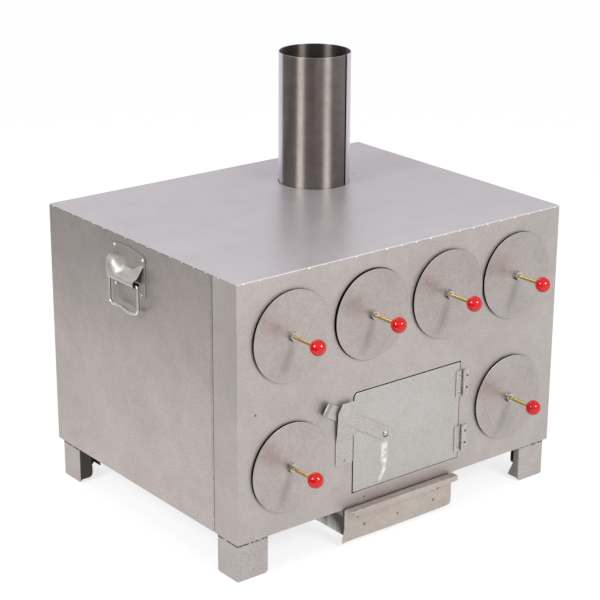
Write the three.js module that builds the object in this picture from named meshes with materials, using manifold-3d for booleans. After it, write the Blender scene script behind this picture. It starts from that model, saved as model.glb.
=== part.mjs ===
// Sweet potato roaster: a sheet-steel cabinet on four folded legs. Its front has six round roasting
// holes, each with a drawer on a rod and ball knob, and a fire door with a lift latch. It has an ash
// tray below, a flue pipe on top and a drop handle on each side.
// Millimetres. +X is to the right, +Y to the back and +Z up. The cabinet's own group has its origin
// at the cabinet's front left lower corner, and the whole is moved so that its origin lies on the
// ground under the middle of its box.
import * as THREE from 'three';
import { mergeVertices } from 'three/addons/utils/BufferGeometryUtils.js';
import Module from 'manifold-3d';

const wasm = await Module();
wasm.setup();

// Shared by all pieces
const gap = 0.3; // between pieces that touch
const overrun = 4; // how far a cutter runs past what it cuts
const sheet = 1.5; // cabinet sheet
const fineSides = 36; // sides of the large round pieces
const coarseSides = 12; // sides of rods, bores and rivets

// Discs and the spaces round them, which make up the cabinet's width and height
const discRadius = 77.3;
const leftMargin = 30; // from the cabinet's left edge to the first disc
const rightMargin = 25.2;
const discSpacing = 10.8; // between the first three discs of the upper row
const lastDiscSpacing = 4.8; // between its third and fourth
const bottomMargin = 34;
const rowSpacing = 69.9; // between the lower and the upper discs
const topMargin = 28.9;
const lowerLeftShift = -2.5; // the lower discs stand a little left of the upper ones
const lowerRightShift = -7.8;

// Cabinet
const cabinetDepth = 546;
const cabinetWidth = leftMargin + 8 * discRadius + 2 * discSpacing + lastDiscSpacing + rightMargin;
const cabinetHeight = bottomMargin + 4 * discRadius + rowSpacing + topMargin;
const frontReturnDepth = 62; // front panel's folded side returns
const lapWidth = 10; // hidden laps where two panels meet
const topOfWalls = cabinetHeight - sheet - gap;

// Legs: L sections of folded sheet
const legSheet = 2;
const legHeight = 65;
const legFrontWidth = 62;
const legSideWidth = 56;
const legLipTop = 12; // depth of the return lips at the top
const legLipBottom = 25; // and at the bottom, where they flare
const rightLegInset = 11;
const rearLegInset = 16;

// Flue pipe
const flueRadius = 65;
const flueWall = 1.2;
const flueRise = 237.5; // above the cabinet's top
const flueDip = 18; // below it, inside the cabinet
const flueFromRight = 239.5; // cabinet's right edge to the pipe's axis
const flueFromBack = 159.5;
const seamAngle = THREE.MathUtils.degToRad(-68); // where the rolled sheet laps, seen from above
const seamWidth = 14;

// Roasting tubes and drawers
const discOverlap = 4; // disc over the tube's edge
const tubeWall = 1.2;
const discStandoff = 3.3; // disc's back to the front panel
const discSheet = 1.6;
const traySheet = 1.2;
const trayPlay = 6; // tube's bore over the tray's radius
const trayEndSpace = 14; // tray's end to the tube's closed back
const trayArcSteps = 16;
const rodRadius = 3;
const nutAcrossFlats = 11.5;
const nutHeight = 5;
const knobRadius = 13.25;
const knobReach = 67; // front panel to the knob's centre

// Fire door: it fills the space between the lower discs, less these
const doorFromLeftDisc = 56.4;
const doorFromRightDisc = 36.2;
const doorBottom = 24.5;
const doorHeight = 179.5;
const doorSheet = 1.5;
const doorRimDepth = 12;
const doorCornerRadius = 10;
const doorSideGap = 2.2; // open joint on the latch side
const doorTopGap = 1.6;
const doorHingeGap = 1.2; // joint on the hinge side and below

// Hinges
const hingeLength = 47;
const upperHingeDrop = 16; // door's top to the upper hinge's top
const lowerHingeRise = 13; // door's bottom to the lower hinge's bottom
const hingeFromDoor = 6; // door's edge to the pin's axis
const leafSheet = 1.2;
const doorLeafWidth = 16;
const frameLeafWidth = 12;
const knuckleRadius = 3;
const knuckleLift = 0.6; // knuckle off the panel
const pinRadius = 1.4;
const pinEnd = 0.8; // pin past the hinge's ends
const hingeRivetRadius = 1.8;
const hingeRivetHeight = 1.2;
const hingeRivetInset = 3; // from the frame leaf's edge and the middle knuckle

// Latch: an arm on a bolt through the door, dropped behind a keeper on the panel
const pivotFromDoorEdge = 67.4;
const pivotFromDoorBottom = 91.3;
const armAngle = THREE.MathUtils.degToRad(31); // above the horizontal, at rest
const armWidth = 22.7;
const armSheet = 2.5;
const armLength = 141.5; // pivot to the fold
const armTipLength = 18;
const armTipAngle = THREE.MathUtils.degToRad(28); // fold outwards
const boltRadius = 3.5;
const boltHeadRadius = 5;
const boltHeadHeight = 3.2;
const keeperSheet = 1.5;
const keeperWidth = 36;
const keeperDrop = 31.8; // pivot's height to the keeper's lower end
const keeperRise = 79.2; // pivot's height to its upper end
const keeperBendRise = 11; // to the fold where it leaves the panel
const keeperStepRise = 26; // to the fold where it stands upright again
const keeperStep = 3.2; // how far it steps out
const keeperLean = 3.6; // how much farther out its upper end is
const keeperChamferWidth = 8;
const keeperChamferHeight = 14;
const keeperRivetDrop = 25; // pivot's height to the keeper's rivet

// Fire box and grate
const fireSheet = 2;
const fireBoxSetback = 2; // fire box walls outside the door opening
const fireBoxFlange = 12;
const fireBoxDepth = 400;
const fireBoxTop = 215;
const ashOpeningInset = 14; // from the fire box's or the tray's wall
const ashOpeningFront = 42;
const ashOpeningBack = 58; // from the fire box's back
const grateBearing = 10; // grate's overlap on the bottom panel
const grateThickness = 12;
const grateBars = 9;
const grateSlotShare = 0.55; // slot's share of each bar and slot pair

// Ash tray and rails
const trayFaceLeftShift = -19.5; // tray's face against the door's left and right edges
const trayFaceRightShift = -16.5;
const trayFaceDrop = 60; // face's lower edge below the cabinet
const trayFaceRise = 2; // its upper edge above the cabinet's bottom edge
const trayFaceOff = 3; // behind the face, to the front panel
const trayFlangeDepth = 16;
const trayLipDrop = 9.5;
const trayFaceCorner = 8;
const ashSheet = 1.2;
const ashTraySideInset = 10; // face's end to the tray's side
const ashTrayLength = fireBoxDepth; // the tray and its rails end below the fire box's back
const ashTrayFloorDrop = 56;
const ashTrayTopDrop = 11;
const runnerWidth = 7; // tray's side lips, which run on the rails
const railPlay = 0.8;
const railFlange = 12;

// Side handles: a pressed plate with a hood whose edge is curled round the bail
const handleFromFront = 297.5;
const plateWidth = 99.5;
const plateFarTopDrop = 18; // cabinet's top to the plate's top corner on the bulging side
const plateNearTopDrop = 22; // and on the other side
const plateArch = 6; // how much higher the middle of its top edge is
const plateHeight = 75;
const plateCorner = 6; // radius of its lower corners
const plateSheet = 1.5;
const hoodSheet = 1.2;
const hoodRootDrop = 37; // cabinet's top to the hood's root
const hoodRootHalf = 47.5;
const hoodCurlHalf = 38;
const curlRadius = 7; // to the middle of the curled sheet
const curlEnd = THREE.MathUtils.degToRad(-165); // where the curled edge stops, from straight outwards
const curlSteps = 12;
const bulgeSteps = 7; // from the hood's root to the curl
const slimCurlStart = THREE.MathUtils.degToRad(105); // where the hood's flat side runs into the curl
const slimLean = 5; // how far the flat side stands out a little below its root
const slimLeanDrop = 10; // and how far below
const slimRunIn = 5; // its straight run into the curl
const fullRise = 1.5; // how much the bulging side climbs as it leaves the plate
const fullRunIn = 14; // the bulging side's run down into the curl
const bulgeEnds = [-34, -4]; // from the plate's middle, where the bulge starts to fade and is gone
const notchDepth = 13; // finger notch in the hood's root
const notchFar = [-33, -6]; // its flanks
const notchNear = [8, 44];
const rivetRadius = 3;
const rivetHeight = 1.6;
const crownShare = 0.6; // of a round head's radius, where its flat crown starts
const rivetFromFarSide = 12; // handle's rivets from the plate's side edges
const rivetFromNearSide = 4.5;
const rivetFromTop = 4.5;
const rivetFromBottom = 6;

// Bails
const wireRadius = 2.5;
const wireSides = 6;
const wireSteps = 44;
const bailAxisDrop = 71; // cabinet's top to the bail's turned-in ends
const bailReach = 11.5; // side panel to them
const bailHalf = 42.5;
const bailDrop = 49; // turned-in ends to the lower bar
const bailUpperCorner = 4;
const bailLowerCorner = 10;
const bailEndHalf = 28; // where the turned-in ends stop
const bailWave = 2;

// Places worked out from the sizes above
const upperRow = bottomMargin + 3 * discRadius + rowSpacing;
const lowerRow = bottomMargin + discRadius;
const firstHole = leftMargin + discRadius;
const holePitch = 2 * discRadius + discSpacing;
const fourthHole = cabinetWidth - rightMargin - discRadius;
const holes = [
  [firstHole, upperRow],
  [firstHole + holePitch, upperRow],
  [firstHole + 2 * holePitch, upperRow],
  [fourthHole, upperRow],
  [firstHole + lowerLeftShift, lowerRow],
  [fourthHole + lowerRightShift, lowerRow],
];
const tubeRadius = discRadius - discOverlap;
const tubeBore = tubeRadius - tubeWall;
const insideBack = cabinetDepth - sheet - gap;

const doorLeft = firstHole + lowerLeftShift + discRadius + doorFromLeftDisc;
const doorRight = fourthHole + lowerRightShift - discRadius - doorFromRightDisc;
const doorTop = doorBottom + doorHeight;
const openingLeft = doorLeft - doorSideGap;
const openingRight = doorRight + doorHingeGap;
const openingBottom = doorBottom - doorHingeGap;
const openingTop = doorTop + doorTopGap;
const pivotX = doorLeft + pivotFromDoorEdge;
const pivotZ = doorBottom + pivotFromDoorBottom;
const hingeX = doorRight + hingeFromDoor;
const hingeY = -knuckleRadius - knuckleLift;

const fireLeft = openingLeft - fireBoxSetback;
const fireRight = openingRight + fireBoxSetback;
const trayFaceLeft = doorLeft + trayFaceLeftShift;
const trayFaceRight = doorRight + trayFaceRightShift;
const ashLeft = trayFaceLeft + ashTraySideInset;
const ashRight = trayFaceRight - ashTraySideInset;
const ashOpening = {
  left: Math.max(fireLeft, ashLeft + ashSheet) + ashOpeningInset,
  right: Math.min(fireRight, ashRight - ashSheet) - ashOpeningInset,
  front: ashOpeningFront,
  back: fireBoxDepth - ashOpeningBack,
};

// Finishes
const finishes = {
  texturedSteel: { color: 0xb9b1ae, roughness: 0.55, metalness: 0.75 },
  satinSteel: { color: 0xc3beC2, roughness: 0.4, metalness: 0.8 },
  discSteel: { color: 0xbdb3b0, roughness: 0.38, metalness: 0.85 },
  flueSteel: { color: 0x77706e, roughness: 0.32, metalness: 0.95 },
  innerSteel: { color: 0x8d8884, roughness: 0.6, metalness: 0.8 },
  castIron: { color: 0x35322f, roughness: 0.8, metalness: 0.5 },
  zincSteel: { color: 0xbab6b0, roughness: 0.35, metalness: 0.9 },
  yellowRod: { color: 0xb9994f, roughness: 0.35, metalness: 0.9 },
  redKnob: { color: 0xc9131a, roughness: 0.18, metalness: 0 },
};

function piece(name, geometry, finish) {
  const mesh = new THREE.Mesh(geometry, new THREE.MeshStandardMaterial(finish));
  mesh.name = name;
  return mesh;
}

function groupAt(x, y, z, children) {
  const group = new THREE.Group();
  group.position.set(x, y, z);
  group.add(...children);
  return group;
}

// Booleans on closed meshes
function solidOf(geometry) {
  const bare = geometry.clone();
  bare.deleteAttribute('normal');
  bare.deleteAttribute('uv');
  const merged = mergeVertices(bare);
  return new wasm.Manifold(new wasm.Mesh({
    numProp: 3,
    vertProperties: new Float32Array(merged.attributes.position.array),
    triVerts: new Uint32Array(merged.index.array),
  }));
}

function geometryOf(solid) {
  const mesh = solid.getMesh();
  const geometry = new THREE.BufferGeometry();
  geometry.setAttribute('position', new THREE.BufferAttribute(mesh.vertProperties, 3));
  geometry.setIndex(new THREE.BufferAttribute(mesh.triVerts, 1));
  geometry.computeVertexNormals();
  return geometry;
}

function join(...geometries) {
  return geometryOf(geometries.map(solidOf).reduce((whole, next) => whole.add(next)));
}

function cut(geometry, ...cutters) {
  return geometryOf(cutters.map(solidOf).reduce((rest, cutter) => rest.subtract(cutter), solidOf(geometry)));
}

// A block between two opposite corners, given in any order
function block(cornerA, cornerB) {
  const [width, depth, height] = cornerA.map((value, axis) => Math.abs(cornerB[axis] - value));
  const middle = cornerA.map((value, axis) => (value + cornerB[axis]) / 2);
  return new THREE.BoxGeometry(width, depth, height).translate(...middle);
}

// Points of an arc, from one angle to another
function arc(centreX, centreY, radius, from, to, steps) {
  return Array.from({ length: steps + 1 }, (_, step) => {
    const angle = from + (to - from) * step / steps;
    return new THREE.Vector2(centreX + radius * Math.cos(angle), centreY + radius * Math.sin(angle));
  });
}

function circle(centreX, centreY, radius, sides) {
  return arc(centreX, centreY, radius, 0, 2 * Math.PI, sides).slice(0, sides);
}

function rectangle(left, low, right, high) {
  return [[left, low], [right, low], [right, high], [left, high]].map(([x, y]) => new THREE.Vector2(x, y));
}

function outline(points, holesInside = []) {
  const shape = new THREE.Shape(points);
  shape.holes = holesInside.map((hole) => new THREE.Path(hole));
  return shape;
}

// An outline drawn in two axes, filled along the third between two places
const axisX = new THREE.Vector3(1, 0, 0);
const axisY = new THREE.Vector3(0, 1, 0);
const axisZ = new THREE.Vector3(0, 0, 1);

function extruded(shape, length) {
  return new THREE.ExtrudeGeometry(shape, { depth: length, bevelEnabled: false });
}

function flatPlate(shape, low, high) {
  return extruded(shape, high - low).translate(0, 0, low);
}

function uprightPlate(shape, front, back) {
  const basis = new THREE.Matrix4().makeBasis(axisX, axisZ, axisY.clone().negate());
  return extruded(shape, back - front).applyMatrix4(basis).translate(0, back, 0);
}

function sidePlate(shape, left, right) {
  const basis = new THREE.Matrix4().makeBasis(axisY, axisZ, axisX);
  return extruded(shape, right - left).applyMatrix4(basis).translate(left, 0, 0);
}

// A shape turned about the Y axis from radius and Y pairs, drawn so that the metal is on the left
function turned(profile, sides) {
  return new THREE.LatheGeometry(profile.map(([radius, y]) => new THREE.Vector2(radius, y)), sides);
}

// A rod along Y
function rod(radius, from, to, sides) {
  return new THREE.CylinderGeometry(radius, radius, to - from, sides).translate(0, (from + to) / 2, 0);
}

function doorOutline(left, low, right, high, cornerRadius) {
  const corner = arc(left + cornerRadius, high - cornerRadius, cornerRadius, Math.PI / 2, Math.PI, 6);
  return [
    new THREE.Vector2(left, low), new THREE.Vector2(right, low), new THREE.Vector2(right, high),
    ...corner,
  ];
}

// Cabinet panels
function frontPanel() {
  const openings = holes.map(([x, z]) => circle(x, z, tubeRadius + gap, fineSides));
  openings.push(doorOutline(openingLeft, openingBottom, openingRight, openingTop, doorCornerRadius));
  const face = uprightPlate(outline(rectangle(0, 0, cabinetWidth, topOfWalls), openings), 0, sheet);
  const leftReturn = block([0, 0, 0], [sheet, frontReturnDepth, topOfWalls]);
  const rightReturn = block([cabinetWidth - sheet, 0, 0], [cabinetWidth, frontReturnDepth, topOfWalls]);
  return join(face, leftReturn, rightReturn);
}

function topPanel() {
  const flueHole = circle(
    cabinetWidth - flueFromRight, cabinetDepth - flueFromBack, flueRadius + gap, fineSides,
  );
  const face = outline(rectangle(0, 0, cabinetWidth, cabinetDepth), [flueHole]);
  return flatPlate(face, cabinetHeight - sheet, cabinetHeight);
}

// A side panel with the lap that runs behind the front panel's return. Its outer face is at x = 0,
// and inwards is 1 or -1.
function sidePanel(inwards) {
  const front = frontReturnDepth + gap;
  const face = block([0, front, 0], [inwards * sheet, insideBack, topOfWalls]);
  const lapFoot = sheet + gap;
  const lapInner = inwards * (2 * sheet + gap);
  const lap = block(
    [inwards * (sheet + gap), frontReturnDepth - lapWidth, lapFoot],
    [lapInner, front + lapWidth, topOfWalls],
  );
  const bridge = block([0, front, lapFoot], [lapInner, front + lapWidth, topOfWalls]);
  return join(face, lap, bridge);
}

function backPanel() {
  const back = cabinetDepth;
  const face = block([0, back - sheet, 0], [cabinetWidth, back, topOfWalls]);
  const laps = [sheet + gap, cabinetWidth - 2 * sheet - gap].map((left) => block(
    [left, back - sheet - lapWidth, sheet + gap],
    [left + sheet, back, topOfWalls],
  ));
  return join(face, ...laps);
}

function bottomPanel() {
  const inset = sheet + gap;
  const edge = rectangle(inset, inset, cabinetWidth - inset, cabinetDepth - inset);
  const ashHole = rectangle(ashOpening.left, ashOpening.front, ashOpening.right, ashOpening.back);
  return flatPlate(outline(edge, [ashHole]), 0, sheet);
}

// A leg with its outer corner at the origin. It runs to the right or left and to the back or front.
function leg(toRight, toBack) {
  const width = toRight * legFrontWidth;
  const depth = toBack * legSideWidth;
  const wallX = toRight * legSheet;
  const wallY = toBack * legSheet;
  const lip = (wall, side) => [
    new THREE.Vector2(wall, -gap),
    new THREE.Vector2(side * legLipTop, -gap),
    new THREE.Vector2(side * legLipBottom, -legHeight),
    new THREE.Vector2(wall, -legHeight),
  ];
  const frontLipX = [width, width - wallX].sort((a, b) => a - b);
  const sideLipY = [depth, depth - wallY].sort((a, b) => a - b);
  return join(
    block([0, 0, -legHeight], [width, wallY, -gap]),
    block([0, 0, -legHeight], [wallX, depth, -gap]),
    block([0, 0, -gap - legSheet], [width, depth, -gap]),
    sidePlate(outline(lip(0, toBack)), ...frontLipX),
    uprightPlate(outline(lip(0, toRight)), ...sideLipY),
  );
}

// The flue's rolled sheet laps itself on the inside
function fluePipe() {
  const inner = flueRadius - flueWall;
  const lapHalfAngle = seamWidth / flueRadius / 2;
  const lapPoints = arc(0, 0, inner - flueWall, seamAngle - lapHalfAngle, seamAngle + lapHalfAngle, 2);
  const openPoints = arc(
    0, 0, inner, seamAngle + lapHalfAngle, seamAngle - lapHalfAngle + 2 * Math.PI, fineSides - 1,
  );
  const section = outline(circle(0, 0, flueRadius, fineSides), [[...lapPoints, ...openPoints]]);
  return flatPlate(section, cabinetHeight - flueDip, cabinetHeight + flueRise);
}

// A roasting tube, closed at the back, about the hole's axis
function roastingTube() {
  return turned([
    [0, insideBack - tubeWall],
    [tubeBore, insideBack - tubeWall],
    [tubeBore, 0],
    [tubeRadius, 0],
    [tubeRadius, insideBack],
    [0, insideBack],
  ], fineSides);
}

// A drawer's pieces, about the hole's axis
const discBack = -discStandoff;
const discFront = discBack - discSheet;
const trayPlateFront = discBack + gap;
const trayPlateBack = trayPlateFront + traySheet;

function drawerDisc() {
  const bore = circle(0, 0, rodRadius + gap, coarseSides);
  return uprightPlate(outline(circle(0, 0, discRadius, fineSides), [bore]), discFront, discBack);
}

function drawerTray() {
  const radius = tubeBore - trayPlay;
  const centreZ = radius + gap - tubeBore;
  const back = insideBack - tubeWall - trayEndSpace;
  const outer = arc(0, centreZ, radius, Math.PI, 2 * Math.PI, trayArcSteps);
  const inner = arc(0, centreZ, radius - traySheet, 2 * Math.PI, Math.PI, trayArcSteps);
  const round = circle(0, centreZ, radius, 2 * trayArcSteps);
  const bore = circle(0, 0, rodRadius + gap, coarseSides);
  return join(
    uprightPlate(outline([...outer, ...inner]), trayPlateFront, back),
    uprightPlate(outline(round, [bore]), trayPlateFront, trayPlateBack),
    uprightPlate(outline(outer), back - traySheet, back),
  );
}

function drawerRod() {
  const nutRadius = nutAcrossFlats / Math.sqrt(3);
  const outerNutBack = discFront - gap;
  const innerNutFront = trayPlateBack + gap;
  return join(
    rod(rodRadius, -knobReach, innerNutFront + nutHeight + rodRadius, coarseSides),
    rod(nutRadius, outerNutBack - nutHeight, outerNutBack, 6),
    rod(nutRadius, innerNutFront, innerNutFront + nutHeight, 6),
  );
}

// The knob, about its own centre, with a blind bore for the rod
function drawerKnob() {
  const bore = rodRadius + gap;
  const mouth = Math.acos(bore / knobRadius);
  const ball = arc(0, 0, knobRadius, -Math.PI / 2, mouth, 9).map((point) => [point.x, point.y]);
  ball[0][0] = 0;
  return turned([...ball, [bore, -gap], [0, -gap]], 16);
}

function drawer(number, x, z) {
  const knob = piece(`drawer_${number}_knob`, drawerKnob(), finishes.redKnob);
  knob.position.y = -knobReach;
  return groupAt(x, 0, z, [
    piece(`drawer_${number}_disc`, drawerDisc(), finishes.discSteel),
    piece(`drawer_${number}_tray`, drawerTray(), finishes.innerSteel),
    piece(`drawer_${number}_rod`, drawerRod(), finishes.yellowRod),
    knob,
  ]);
}

// Fire box: side and back walls, with flanges against the front panel, open at the top
function fireBox() {
  const front = sheet + gap;
  const foot = sheet + gap;
  const outerLeft = fireLeft - fireSheet;
  const outerRight = fireRight + fireSheet;
  return join(
    block([outerLeft, front, foot], [fireLeft, fireBoxDepth, fireBoxTop]),
    block([fireRight, front, foot], [outerRight, fireBoxDepth, fireBoxTop]),
    block([outerLeft, fireBoxDepth - fireSheet, foot], [outerRight, fireBoxDepth, fireBoxTop]),
    block([outerLeft - fireBoxFlange, front, foot], [fireLeft, front + fireSheet, fireBoxTop]),
    block([fireRight, front, foot], [outerRight + fireBoxFlange, front + fireSheet, fireBoxTop]),
  );
}

function fireGrate() {
  const left = ashOpening.left - grateBearing;
  const right = ashOpening.right + grateBearing;
  const foot = sheet + gap;
  const top = foot + grateThickness;
  const pitch = (ashOpening.right - ashOpening.left) / grateBars;
  const slotWidth = pitch * grateSlotShare;
  const slots = Array.from({ length: grateBars }, (_, slot) => {
    const middle = ashOpening.left + (slot + 0.5) * pitch;
    return block(
      [middle - slotWidth / 2, ashOpening.front, foot - overrun],
      [middle + slotWidth / 2, ashOpening.back, top + overrun],
    );
  });
  const slab = block(
    [left, ashOpening.front - grateBearing, foot],
    [right, ashOpening.back + grateBearing, top],
  );
  return cut(slab, ...slots);
}

function ashTray() {
  const faceBack = -trayFaceOff;
  const faceFront = faceBack - sheet;
  const flangeFront = faceFront - trayFlangeDepth;
  const back = ashTrayLength;
  const floor = -ashTrayFloorDrop;
  const top = -ashTrayTopDrop;
  const corner = arc(
    trayFaceRight - trayFaceCorner, -trayFaceDrop + trayFaceCorner, trayFaceCorner, -Math.PI / 2, 0, 5,
  );
  const face = [
    new THREE.Vector2(trayFaceLeft, -trayFaceDrop),
    ...corner,
    new THREE.Vector2(trayFaceRight, trayFaceRise),
    new THREE.Vector2(trayFaceLeft, trayFaceRise),
  ];
  return join(
    uprightPlate(outline(face), faceFront, faceBack),
    block([trayFaceLeft, flangeFront, trayFaceRise - sheet], [trayFaceRight, faceBack, trayFaceRise]),
    block(
      [trayFaceLeft, flangeFront, trayFaceRise - trayLipDrop],
      [trayFaceRight, flangeFront + sheet, trayFaceRise],
    ),
    block([ashLeft, faceFront, floor], [ashRight, back, floor + ashSheet]),
    block([ashLeft, faceFront, floor], [ashLeft + ashSheet, back, top]),
    block([ashRight - ashSheet, faceFront, floor], [ashRight, back, top]),
    block([ashLeft, back - ashSheet, floor], [ashRight, back, top]),
    block([ashLeft - runnerWidth, 0, top - ashSheet], [ashLeft + ashSheet, back, top]),
    block([ashRight - ashSheet, 0, top - ashSheet], [ashRight + runnerWidth, back, top]),
  );
}

// A tray rail: a Z section under the bottom panel. Its web's inner face is at x = 0, and inwards,
// towards the tray, is 1 or -1.
function trayRail(inwards) {
  const outer = -inwards * sheet;
  const shelfTop = -ashTrayTopDrop - ashSheet - gap;
  const shelfEnd = inwards * (runnerWidth + railPlay - gap);
  const front = sheet;
  const back = ashTrayLength;
  return join(
    block([0, front, -gap], [outer, back, shelfTop - sheet]),
    block([0, front, -gap], [outer - inwards * railFlange, back, -gap - sheet]),
    block([outer, front, shelfTop], [shelfEnd, back, shelfTop - sheet]),
  );
}

// Fire door: a plate with a folded rim behind it
function fireDoor() {
  const edge = doorOutline(doorLeft, doorBottom, doorRight, doorTop, doorCornerRadius);
  const inner = doorOutline(
    doorLeft + doorSheet, doorBottom + doorSheet, doorRight - doorSheet, doorTop - doorSheet,
    doorCornerRadius - doorSheet,
  );
  const bore = circle(pivotX, pivotZ, boltRadius + gap, coarseSides);
  return join(
    uprightPlate(outline(edge, [bore]), 0, doorSheet),
    uprightPlate(outline(edge, [inner]), 0, doorRimDepth),
  );
}

// A hinge about its pin's axis, its lower end at z = 0. The leaves lie on the panel and the door.
function hingeKnuckle(low, high) {
  const ring = outline(
    circle(0, 0, knuckleRadius, coarseSides), [circle(0, 0, pinRadius + gap, coarseSides)],
  );
  return flatPlate(ring, low, high);
}

const leafBack = -hingeY - gap;
const leafFront = leafBack - leafSheet;
const knuckleLength = (hingeLength - 2 * gap) / 3;
const knuckleClear = knuckleRadius + 2 * gap;

function hingeRivet(x, z) {
  return rod(hingeRivetRadius, leafFront - hingeRivetHeight, leafBack, 8).translate(x, 0, z);
}

function frameLeaf() {
  const middleLow = knuckleLength;
  const middleHigh = hingeLength - knuckleLength;
  const leaf = join(
    block([0, leafFront, 0], [frameLeafWidth, leafBack, hingeLength]),
    hingeKnuckle(0, middleLow),
    hingeKnuckle(middleHigh, hingeLength),
    hingeRivet(frameLeafWidth - hingeRivetInset, middleLow - hingeRivetInset),
    hingeRivet(frameLeafWidth - hingeRivetInset, middleHigh + hingeRivetInset),
  );
  return cut(leaf, block(
    [-overrun, -overrun, middleLow],
    [knuckleClear, overrun, middleHigh],
  ));
}

function doorLeaf() {
  const middleLow = knuckleLength + gap;
  const middleHigh = hingeLength - knuckleLength - gap;
  return join(
    block([-doorLeafWidth, leafFront, 0], [-knuckleClear, leafBack, hingeLength]),
    block([-doorLeafWidth, leafFront, middleLow], [0, leafBack, middleHigh]),
    hingeKnuckle(middleLow, middleHigh),
    hingeRivet(-doorLeafWidth / 2, knuckleLength / 2),
    hingeRivet(-doorLeafWidth / 2, hingeLength - knuckleLength / 2),
  );
}

function hinge(name, low) {
  const pin = new THREE.CylinderGeometry(pinRadius, pinRadius, hingeLength + 2 * pinEnd, coarseSides);
  pin.rotateX(Math.PI / 2).translate(0, 0, hingeLength / 2);
  return groupAt(hingeX, hingeY, low, [
    piece(`hinge_${name}_frame_leaf`, frameLeaf(), finishes.zincSteel),
    piece(`hinge_${name}_door_leaf`, doorLeaf(), finishes.zincSteel),
    piece(`hinge_${name}_pin`, pin, finishes.zincSteel),
  ]);
}

// The latch arm runs along X from its pivot, its tip folded outwards
function latchArm() {
  const back = -gap;
  const front = back - armSheet;
  const tipOut = armTipLength * Math.sin(armTipAngle);
  const tipAlong = armTipLength * Math.cos(armTipAngle);
  const flank = [
    new THREE.Vector2(0, back),
    new THREE.Vector2(0, front),
    new THREE.Vector2(armLength, front),
    new THREE.Vector2(armLength + tipAlong, front - tipOut),
    new THREE.Vector2(armLength + tipAlong, back - tipOut),
    new THREE.Vector2(armLength, back),
  ];
  const bar = flatPlate(outline(flank), -armWidth / 2, armWidth / 2);
  const eye = uprightPlate(outline(circle(0, 0, armWidth / 2, 2 * coarseSides)), front, back);
  const bore = uprightPlate(
    outline(circle(0, 0, boltRadius + gap, coarseSides)), front - overrun, back + overrun,
  );
  return cut(join(bar, eye), bore);
}

// The bolt's head is outside the arm, its nut inside the door
function latchBolt() {
  const headBack = -gap - armSheet - gap;
  const headFront = headBack - boltHeadHeight;
  const nutFront = doorSheet + gap;
  const head = turned([
    [0, headFront],
    [boltHeadRadius * crownShare, headFront],
    [boltHeadRadius, headFront + boltHeadHeight / 2],
    [boltHeadRadius, headBack],
    [0, headBack],
  ], coarseSides);
  return join(
    head,
    rod(boltRadius, headFront + boltHeadHeight / 2, nutFront + nutHeight, coarseSides),
    rod(nutAcrossFlats / Math.sqrt(3), nutFront, nutFront + nutHeight, 6),
  );
}

// The keeper is flat on the panel below and stands off it above, as a pocket open at the top.
// Its left edge is at x = 0 and the pivot's height at z = 0.
function latchKeeper() {
  const back = -gap;
  const stepBack = back - keeperStep;
  const topBack = stepBack - keeperLean;
  const flank = [
    [back, -keeperDrop],
    [back, keeperBendRise],
    [stepBack, keeperStepRise],
    [topBack, keeperRise],
    [topBack - keeperSheet, keeperRise],
    [stepBack - keeperSheet, keeperStepRise],
    [back - keeperSheet, keeperBendRise],
    [back - keeperSheet, -keeperDrop],
  ].map(([y, z]) => new THREE.Vector2(y, z));
  const chamfer = uprightPlate(outline([
    new THREE.Vector2(-overrun, keeperRise - keeperChamferHeight),
    new THREE.Vector2(0, keeperRise - keeperChamferHeight),
    new THREE.Vector2(keeperChamferWidth, keeperRise),
    new THREE.Vector2(keeperChamferWidth, keeperRise + overrun),
    new THREE.Vector2(-overrun, keeperRise + overrun),
  ]), topBack - keeperSheet - overrun, back);
  const rivet = rod(rivetRadius, back - keeperSheet - rivetHeight, back, 8);
  rivet.translate(keeperWidth / 2, 0, -keeperRivetDrop);
  return join(cut(sidePlate(outline(flank), 0, keeperWidth), chamfer), rivet);
}

// A band of even thickness along a line of points
function band(points, thickness) {
  const normals = points.map((point, place) => {
    const before = points[Math.max(place - 1, 0)];
    const after = points[Math.min(place + 1, points.length - 1)];
    const along = after.clone().sub(before).normalize();
    return new THREE.Vector2(-along.y, along.x);
  });
  const side = (factor) => points.map((point, place) => (
    point.clone().addScaledVector(normals[place], factor * thickness / 2)
  ));
  return [...side(1), ...side(-1).reverse()];
}

// Side handle, drawn with X out of the side panel, Y along it and Z up from the cabinet's bottom.
// The hood bulges on the far side, at negative Y, and is flatter on the near side.
const plateFarTop = cabinetHeight - plateFarTopDrop;
const plateNearTop = cabinetHeight - plateNearTopDrop;
const plateBottom = plateFarTop - plateHeight;
const bailZ = cabinetHeight - bailAxisDrop;
const curlX = bailReach;
const curlZ = bailZ + curlRadius - hoodSheet / 2 - wireRadius - gap; // the bail rests in the curl

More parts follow.
